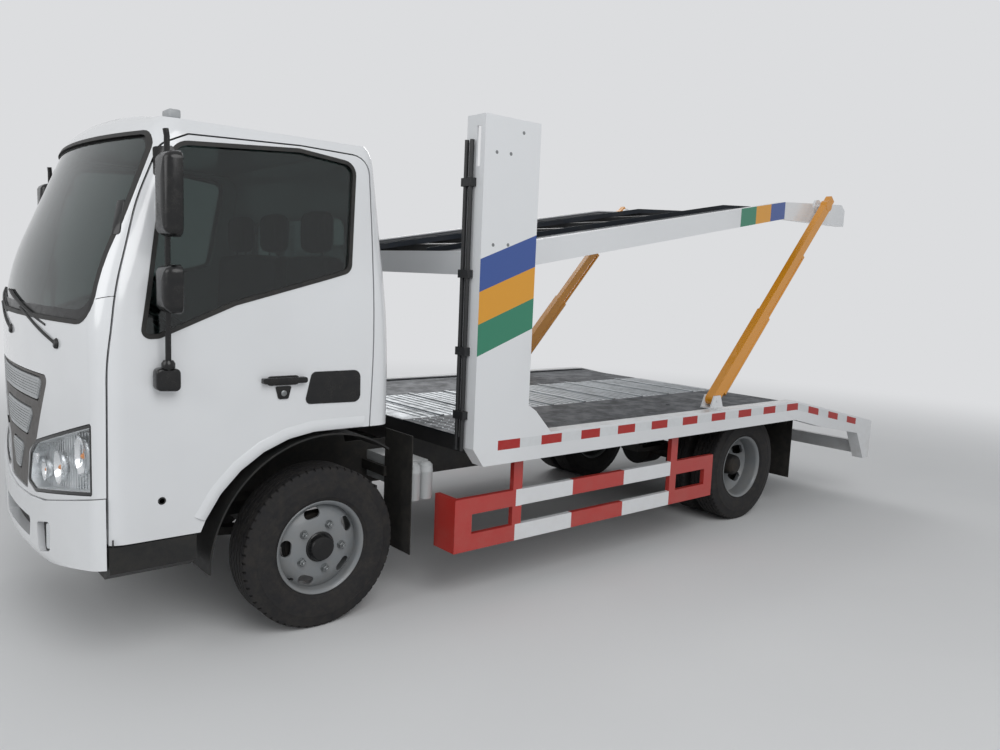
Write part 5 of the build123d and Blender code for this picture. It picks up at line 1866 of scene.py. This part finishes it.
@dataclass
class CabTrim:
    """Trim on the cab: door seals, handles, vents, wipers, mirrors, roof lamp, and black panels behind the
    front wheels that paint the shade there.
    """

    seal_radius: float = 0.0034
    seal_depth: float = 0.020
    head_y: float = 1.040
    head_half: float = 0.074
    head_corner: float = 0.032
    head_sections: tuple[tuple[float, float], ...] = (
        (2.612, 0.016), (2.608, 0.010), (2.606, 0.004), (2.610, 0.0), (2.630, 0.0), (2.650, 0.005),
        (2.664, 0.015), (2.672, 0.029),
    )
    pole_x: float = 2.625
    pole_y: float = 0.985
    clamp_heights: tuple[float, ...] = (1.56, 1.65, 1.86, 2.05)

    def door_seal(self, side: Side) -> None:
        """Runs a black rubber seal along a door's gap."""
        outline = refined(round_corners(DOOR_OUTLINE, -0.0035), 0.05)
        gap = [(x, z) for x, z in outline if z > 0.64 and (z > 0.975 or x > 2.6)]
        path = [CAB.side_point(x, z, side, -self.seal_depth) for x, z in gap]
        start = max(range(len(path)), key=lambda k: (path[k] - path[k - 1]).length)
        seal = add_tube(f"door_seal_{side.tag}", path[start:] + path[:start], self.seal_radius)
        settle(seal, SEAL_RUBBER, "cab")

    def handle(self, side: Side) -> None:
        """Fits a door's handle, lock and black panel."""
        body = f"door_{side.tag}"
        panel = [(1.986, 1.237, 0.026), (1.740, 1.237, 0.034), (1.738, 1.087, 0.034), (2.022, 1.093, 0.024)]
        plate = CAB.layer(f"door_step_panel_{side.tag}", side_block(panel, side), -0.004, 0.010)
        soften(plate, 0.003, 3)
        settle(plate, GLOSS_BLACK, body)
        bar = rounded(0.010, (2.225, 1.221), (2.020, 1.219), (2.020, 1.194), (2.225, 1.196))
        feet = [rounded(0.004, *rectangle(x + 0.011, 1.219, x - 0.011, 1.197)) for x in (2.212, 2.034)]
        lock = [(2.160, 1.180, 0.006), (2.086, 1.180, 0.006), (2.100, 1.124, 0.010), (2.146, 1.124, 0.010)]
        cup = rounded(0.020, *rectangle(2.200, 1.226, 2.045, 1.184))
        layers = [(bar, -0.030, -0.016)] + [(foot, -0.017, 0.002) for foot in feet]
        layers += [(lock, -0.006, 0.004), (cup, -0.0015, 0.004)]
        pieces = [CAB.layer("part", side_block(shape, side), outer, inner) for shape, outer, inner in layers]
        grip = joined(pieces, f"door_handle_{side.tag}")
        soften(grip, 0.0015)
        settle(grip, GLOSS_BLACK, body)
        place = CAB.side_point(2.123, 1.150, side, 0.004)
        barrel = [
            (0, 0), (0.013, 0), (0.013, 0.006), (0.010, 0.008), (0.004, 0.008), (0.004, 0.005), (0, 0.005),
        ]
        key = add_turned(f"lock_barrel_{side.tag}", barrel, place, ACROSS * side.value, 24)
        settle(key, NUT_STEEL, body)

    def vent(self, side: Side) -> None:
        """Lays the black vent strip on a front pillar."""
        strip = rounded(0.008, (0.752, 1.931), (0.792, 1.931), (0.846, 1.794), (0.818, 1.794))
        block = nose_block(mirrored_corners(strip, side), start=2.55, reach=0.5)
        piece = CAB.layer(f"pillar_vent_{side.tag}", block, -0.004, 0.004)
        soften(piece, 0.002)
        settle(piece, GLOSS_BLACK, "cab")

    def wiper(self, name: str, foot: tuple[float, float], elbow: tuple[float, float], ends: tuple) -> Piece:
        """Bends a wiper arm from its spindle to its blade.

        Args:
            name: The piece's name.
            foot: The spindle's place, across and up.
            elbow: Where the arm meets the blade.
            ends: The blade's two ends.

        Returns:
            The wiper.
        """
        base = CAB.front_point(*foot, -0.004)
        middle = ((foot[0] * 2 + elbow[0]) / 3, (foot[1] * 2 + elbow[1]) / 3)
        bends = ((foot, 0.005), (middle, 0.005), (elbow, 0.003))
        arm = add_tube("arm", [CAB.front_point(*place, lift) for place, lift in bends], 0.006, curved=True)
        (y0, z0), (y1, z1) = ends
        track = [(y0 + (y1 - y0) * k / 8, z0 + (z1 - z0) * k / 8) for k in range(9)]
        holder = add_tube("holder", [CAB.front_point(y, z, 0.0) for y, z in track], 0.005)
        lip = add_tube("lip", [CAB.front_point(y, z, -0.008) for y, z in track], 0.004)
        profile = [(0, 0), (0.022, 0), (0.022, 0.008), (0.016, 0.014), (0, 0.015)]
        spindle = add_turned("spindle", profile, base, Vector((1, 0, 0.15)).normalized(), 20)
        return joined([arm, holder, lip, spindle], name)

    def wipers(self) -> None:
        """Fits both wipers."""
        left_blade, right_blade = ((0.480, 1.420), (-0.160, 1.540)), ((-0.180, 1.440), (-0.700, 1.530))
        left = self.wiper("wiper_left", (0.590, 1.352), (0.150, 1.474), left_blade)
        right = self.wiper("wiper_right", (-0.060, 1.365), (-0.440, 1.470), right_blade)
        settle(joined([left, right], "wipers"), WIPER_BLACK, "cab")

    def mirror_head(self, name: str, low: float, high: float, side: Side) -> list[Piece]:
        """Shapes one mirror housing, with its glass facing the rear.

        Args:
            name: The piece's name.
            low: The head's lower end.
            high: Its upper end.
            side: Which side it hangs on.

        Returns:
            The housing and the glass.
        """
        near, far = self.head_y - self.head_half, self.head_y + self.head_half
        shape = rounded(self.head_corner, *rectangle(near, low, far, high))
        rows = [
            [Vector((x, side.value * y, z)) for y, z in round_corners(shape, inset)]
            for x, inset in self.head_sections
        ]
        centre = sum(rows[-1], Vector()) / len(rows[-1])
        rows.append([centre + (point - centre) * 0.5 + AHEAD * 0.003 for point in rows[-1]])
        housing = CAB.closed(name, rows)
        face = [Vector((2.6115, side.value * y, z)) for y, z in round_corners(shape, 0.017)]
        return [housing, add_plate(f"{name}_glass", face, AHEAD * -0.0015)]

    def mirror(self, side: Side) -> None:
        """Builds a mirror's foot, pole and two heads."""
        body, x, y = f"door_{side.tag}", self.pole_x, side.value * self.pole_y
        foot = rounded(0.020, (2.578, 1.190), (2.672, 1.196), (2.672, 1.286), (2.578, 1.280))
        block = CAB.layer("mirror_foot", side_block(foot, side), -0.058, -0.0005)
        soften(block, 0.010, 3)
        points = [Vector((x, y, z)) for z in (1.235, 1.60, 2.0, 2.17)]
        pole = add_tube("pole", points + [Vector((x + 0.003, y - 0.004 * side.value, 2.196))], 0.0115)
        collar = [(0, 0), (0.024, 0), (0.026, 0.006), (0.026, 0.022), (0.018, 0.034), (0, 0.034)]
        knob = add_turned("knob", collar, Vector((x, y, 1.282)), UP, 24)
        ring = [(0.010, -0.014), (0.017, -0.012), (0.017, 0.012), (0.010, 0.014)]
        clamps = [add_turned("clamp", ring, Vector((x, y, z)), UP, 20) for z in self.clamp_heights]
        heads, glasses = [], []
        for word, low, high in (("upper", 1.792, 2.108), ("lower", 1.502, 1.688)):
            housing, glass = self.mirror_head(f"mirror_{word}_{side.tag}", low, high, side)
            heads.append(housing)
            glasses.append(glass)
        frame_piece = joined([block, pole, knob] + clamps + heads, f"mirror_set_{side.tag}")
        settle(frame_piece, GLOSS_BLACK, body)
        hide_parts(f"mirror_{side.tag}")
        settle(joined(glasses, f"mirror_glass_{side.tag}"), MIRROR_SILVER, body)

    def splash_panel(self, side: Side) -> None:
        """Hangs a black rubber panel beside the frame, behind the front wheel, as painted shade: it darkens
        what shows through the arch.
        """
        radius = CAB.arch_radius - 0.012
        bend = arc(CAB.arch_centre, radius, math.acos((0.62 - CAB.arch_centre[1]) / radius), 10)
        flat = [(1.210, 0.560), (1.210, 0.790), (1.550, 0.790), (1.600, 0.953)] + bend
        flat += [(2.30, 0.62), (1.600, 0.56)]
        # A black rubber sheet: painted shade behind the front wheel.
        panel = add_sideways(f"splash_panel_{side.tag}", flat, side.value * 0.472, side.value * 0.005)
        settle(panel, FLAP_RUBBER, "cab")

    def marks(self, side: Side) -> None:
        """Adds the black quarter trim, the pillar's short seam and the bare round lamp hole."""
        trim = rounded(0.012, (2.616, 2.150), (2.542, 2.160), (2.549, 2.040), (2.628, 2.030))
        plate = CAB.layer(f"quarter_trim_{side.tag}", side_block(trim, side), -0.003, 0.010)
        settle(plate, GLOSS_BLACK, f"door_{side.tag}")
        places = [(side.value * (0.862 + 0.011 * k), 1.545 + 0.0035 * k) for k in range(5)]
        seam = [CAB.front_point(y, z, -0.0008) for y, z in places]
        settle(add_tube(f"pillar_seam_{side.tag}", seam, 0.0018), SEAL_RUBBER, "cab")
        place = CAB.side_point(2.639, 0.742, side, -0.001)
        ring = [
            (0, 0.001), (0.010, 0.001), (0.010, 0.0025), (0.015, 0.0025), (0.016, 0.001), (0.016, 0), (0, 0),
        ]
        hole = add_turned(f"lamp_hole_{side.tag}", ring, place, ACROSS * side.value, 24)
        settle(hole, SEAL_RUBBER, f"door_{side.tag}")

    def roof_lamp(self) -> None:
        """Sets the small box lamp on the roof's front corner."""
        low = Vector((2.47, 0.60, CAB.crown(2.45, 0.63) - 0.004))
        base = [low + Vector((x, y, 0)) for x, y in rectangle(0, 0, 0.05, 0.09)]
        box = add_plate("roof_lamp", base, UP * 0.038)
        soften(box, 0.008, 3)
        settle(box, SLAT_PLASTIC, "cab")

    def dress(self) -> None:
        """Fits all the trim."""
        for side in Side:
            self.door_seal(side)
            self.handle(side)
            self.vent(side)
            self.mirror(side)
            self.splash_panel(side)
            self.marks(side)
        self.wipers()
        self.roof_lamp()


@dataclass
class SideFittings:
    """Two pale upright canisters beside the frame, and plugs in the posts."""

    plugs: tuple[tuple[float, float], ...] = (
        (1.132, 2.286), (1.043, 2.288), (1.133, 1.845), (1.038, 1.850), (0.965, 2.398),
    )
    plug_y: float = 1.1374
    can_radius: float = 0.0365
    can_spacing: float = 0.0375

    def canisters(self) -> None:
        """Makes the canisters on their bracket in place of the plain box."""
        low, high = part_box("side_box")
        radius, height, middle_x = self.can_radius, high.z - low.z, (low.x + high.x) / 2
        profile = [
            (0, 0), (radius * 0.9, 0), (radius, 0.006), (radius, height * 0.72),
            (radius + 0.001, height * 0.73), (radius + 0.001, height * 0.79), (radius, height * 0.80),
            (radius * 0.95, height * 0.93), (radius * 0.6, height), (0, height),
        ]
        feet = [Vector((middle_x + s * self.can_spacing, high.y - 0.045, low.z)) for s in (-1, 1)]
        cans = [add_turned("can", profile, foot, UP, 40) for foot in feet]
        plate = rectangle(low.x, low.z + 0.05, high.x, high.z)
        cans.append(add_sideways("bracket", plate, low.y, high.y - low.y - 0.080))
        pair = joined(cans, "canister_pair")
        settle(pair, TANK_PALE, "chassis", smooth=35)
        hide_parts("side_box")

    def dress(self) -> None:
        """Makes the canisters and the plugs."""
        self.canisters()
        disc = [(0, 0), (0.009, 0), (0.009, 0.0006), (0.006, 0.0008), (0, 0.0008)]
        discs = [
            add_turned("plug", disc, Vector((x, side.value * self.plug_y, z)), ACROSS * side.value, 20)
            for side in Side
            for x, z in self.plugs
        ]
        settle(joined(discs, "post_plugs"), NUT_STEEL, "chassis")


@dataclass
class SeatPads:
    """Two cab seats: padded cushion, back and headrest in cloth, crowned between pulled-in corners."""

    seats: tuple[tuple[str, float, float, tuple[float, ...]], ...] = (
        ("driver", 0.226, 0.694, (0.460,)), ("mate", -0.694, 0.174, (-0.484, -0.036)),
    )
    corner: float = 0.035
    channel: float = 0.006

    def pad(self, name: str, low: Vector, high: Vector, crown: float) -> Piece:
        """Swells one pad from a box, with its corners pulled in and its sewn edges sunk.

        Args:
            name: The pad's name.
            low: Its low corner.
            high: Its high corner.
            crown: How far its faces swell.

        Returns:
            The pad.
        """
        middle, size = (low + high) / 2, high - low
        deselect()
        bpy.ops.mesh.primitive_cube_add(size=1, location=middle)
        piece = named(bpy.context.active_object, name)
        piece.scale = size - Vector((crown, crown, crown)) * 1.2
        bpy.ops.object.transform_apply(location=True, rotation=True, scale=True)
        add_modifier(piece, "BEVEL", width=self.corner, segments=3)
        with editing():
            bpy.ops.mesh.subdivide(number_cuts=6)
        puff = crown * 1.3
        for vertex in piece.data.vertices:
            share = [(vertex.co[i] - middle[i]) / (size[i] / 2) for i in range(3)]
            swell = [max(0.0, 1 - s * s) for s in share]
            sunk = self.channel * (abs(math.sin(share[1] * math.pi * 1.5)) < 0.16)
            vertex.co.x += puff * share[0] * math.sqrt(swell[1] * swell[2]) - sunk * (share[0] > 0.6)
            vertex.co.y += puff * 0.6 * share[1] * math.sqrt(swell[0] * swell[2])
            vertex.co.z += puff * share[2] * math.sqrt(swell[0] * swell[1]) - sunk * (share[2] > 0.6)
        add_modifier(piece, "SUBSURF", levels=1, render_levels=1)
        return piece

    def dress(self) -> None:
        """Builds both seats in place of their plain solids."""
        for word, near, far, places in self.seats:
            pads = [
                self.pad("cushion", Vector((1.70, near, 1.020)), Vector((2.190, far, 1.172)), 0.016),
                self.pad(
                    "back", Vector((1.672, near + 0.01, 1.150)), Vector((1.800, far - 0.01, 1.750)), 0.014
                ),
            ]
            for y in places:
                low, high = Vector((1.686, y - 0.13, 1.778)), Vector((1.764, y + 0.13, 1.975))
                pads.append(self.pad("headrest", low, high, 0.012))
            seat = joined(pads, f"{word}_seat")
            settle(seat, SEAT_CLOTH, "cab", smooth=60)
            if word == "driver":
                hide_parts("seats")
            posts = [
                add_tube("post", [Vector((1.722, y + s, 1.72)), Vector((1.722, y + s, 1.80))], 0.006)
                for y in places
                for s in (-0.06, 0.06)
            ]
            settle(joined(posts, f"{word}_headrest_posts"), NUT_STEEL, "cab")


# The studio


@dataclass
class Studio:
    """A pale floor, soft lamps and the camera at the photograph's place."""

    floor_radius: float = 60.0
    camera_place: tuple[float, float, float] = (3.6815, 4.238, 1.694)
    camera_yaw: float = 0.703
    camera_pitch: float = 0.120
    camera_roll: float = 0.042
    lens: float = 29.37
    ambient: float = 0.42
    backdrop: str = "#dcdddf"
    fade_start: float = 4.5
    fade_end: float = 11.0

    def seen(self, tree: Tree) -> Socket:
        """Tells the rays that show a surface, straight, mirrored or through glass, from those that light."""
        ray = add_node(tree, "LightPath").outputs
        straight = maths(tree, "MAXIMUM", ray["Is Camera Ray"], ray["Is Glossy Ray"])
        return maths(tree, "MAXIMUM", straight, ray["Is Transmission Ray"])

    def build(self) -> None:
        """Makes the floor, the lamps, the world and the camera."""
        self.lay_floor()
        self.hang_lamps()
        self.light_world()
        self.place_camera()

    def lay_floor(self) -> None:
        """Lays a wide pale disc at the ground."""
        deselect()
        bpy.ops.mesh.primitive_circle_add(vertices=96, radius=self.floor_radius, fill_type="NGON")
        floor = bpy.context.active_object
        floor.name = "studio_floor"
        material, tree, place = start_material("studio_floor")
        cloud = noise(tree, place, 1 / 0.6, 4.0)
        colour = mixed(tree, cloud, linear("#d9dadb"), linear("#e1e2e2"))
        set_shader(tree, base_color=colour, roughness=0.9, specular_ior_level=0.1)
        away = add_node(tree, "VectorMath", {0: place}, operation="LENGTH").outputs["Value"]
        far = ramped(tree, away, self.fade_start, self.fade_end)
        share = maths(tree, "MULTIPLY", far, self.seen(tree))
        glow = add_node(tree, "Emission", {"Color": linear(self.backdrop), "Strength": 1.0}).outputs[0]
        shader = tree.nodes["Principled BSDF"].outputs[0]
        blend = add_node(tree, "MixShader", {0: share, 1: shader, 2: glow}).outputs[0]
        tree.links.new(blend, tree.nodes["Material Output"].inputs["Surface"])
        floor.data.materials.append(material)

    def hang_lamps(self) -> None:
        """Hangs three wide soft lamps round the truck."""
        lamps = (
            ("key_lamp", (3.0, 8.0, 7.0), 7.0, 400.0),
            ("front_lamp", (9.0, 1.0, 4.5), 5.0, 150.0),
            ("far_lamp", (-4.0, -8.0, 7.0), 7.0, 250.0),
        )
        for name, place, size, power in lamps:
            deselect()
            bpy.ops.object.light_add(type="AREA", location=place)
            lamp = bpy.context.active_object
            lamp.name = name
            lamp.data.shape = "DISK"
            lamp.data.size = size
            lamp.data.energy = power
            aim = Vector((0.0, 0.0, 1.0)) - Vector(place)
            lamp.rotation_euler = aim.to_track_quat("-Z", "Y").to_euler()

    def light_world(self) -> None:
        """Lights the object evenly, and shows a pale ground to the camera and in reflections."""
        world = bpy.data.worlds.new("studio_world")
        bpy.context.scene.world = world
        world.use_nodes = True
        tree = world.node_tree
        shown = self.seen(tree)
        colour = mixed(tree, shown, dimmed("#f2f4f7", self.ambient), linear(self.backdrop))
        background = tree.nodes["Background"]
        tree.links.new(colour, background.inputs["Color"])
        background.inputs["Strength"].default_value = 1.0

    def place_camera(self) -> None:
        """Sets the camera where the photograph was taken from."""
        yaw, pitch = self.camera_yaw, self.camera_pitch
        forward = Vector(
            (-math.sin(yaw) * math.cos(pitch), -math.cos(yaw) * math.cos(pitch), -math.sin(pitch))
        )
        level = forward.cross(Vector((0, 0, 1))).normalized()
        upright = level.cross(forward)
        turn, lean = math.cos(self.camera_roll), math.sin(self.camera_roll)
        right = turn * level + lean * upright
        up = -lean * level + turn * upright
        deselect()
        bpy.ops.object.camera_add(location=self.camera_place)
        camera = bpy.context.active_object
        camera.name = "photo_camera"
        camera.rotation_euler = Matrix((right, up, -forward)).transposed().to_euler()
        camera.data.lens = self.lens
        camera.data.sensor_width = 36.0
        camera.data.clip_end = 200.0
        bpy.context.scene.camera = camera
        bpy.context.scene.view_settings.view_transform = "Standard"


def main() -> None:
    """Dresses the frame and builds the scene."""
    logging.basicConfig(level=logging.INFO, format="%(message)s")
    SHOP.coat_nodes()
    TyreTread().dress()
    PressedRims().dress()
    WheelTrim().dress()
    CabSkin().dress()
    CabNose().dress()
    CabTrim().dress()
    SideFittings().dress()
    SeatPads().dress()
    DeckFloor().dress()
    ReflectorTape().dress()
    Studio().build()


if __name__ == "__main__":
    main()
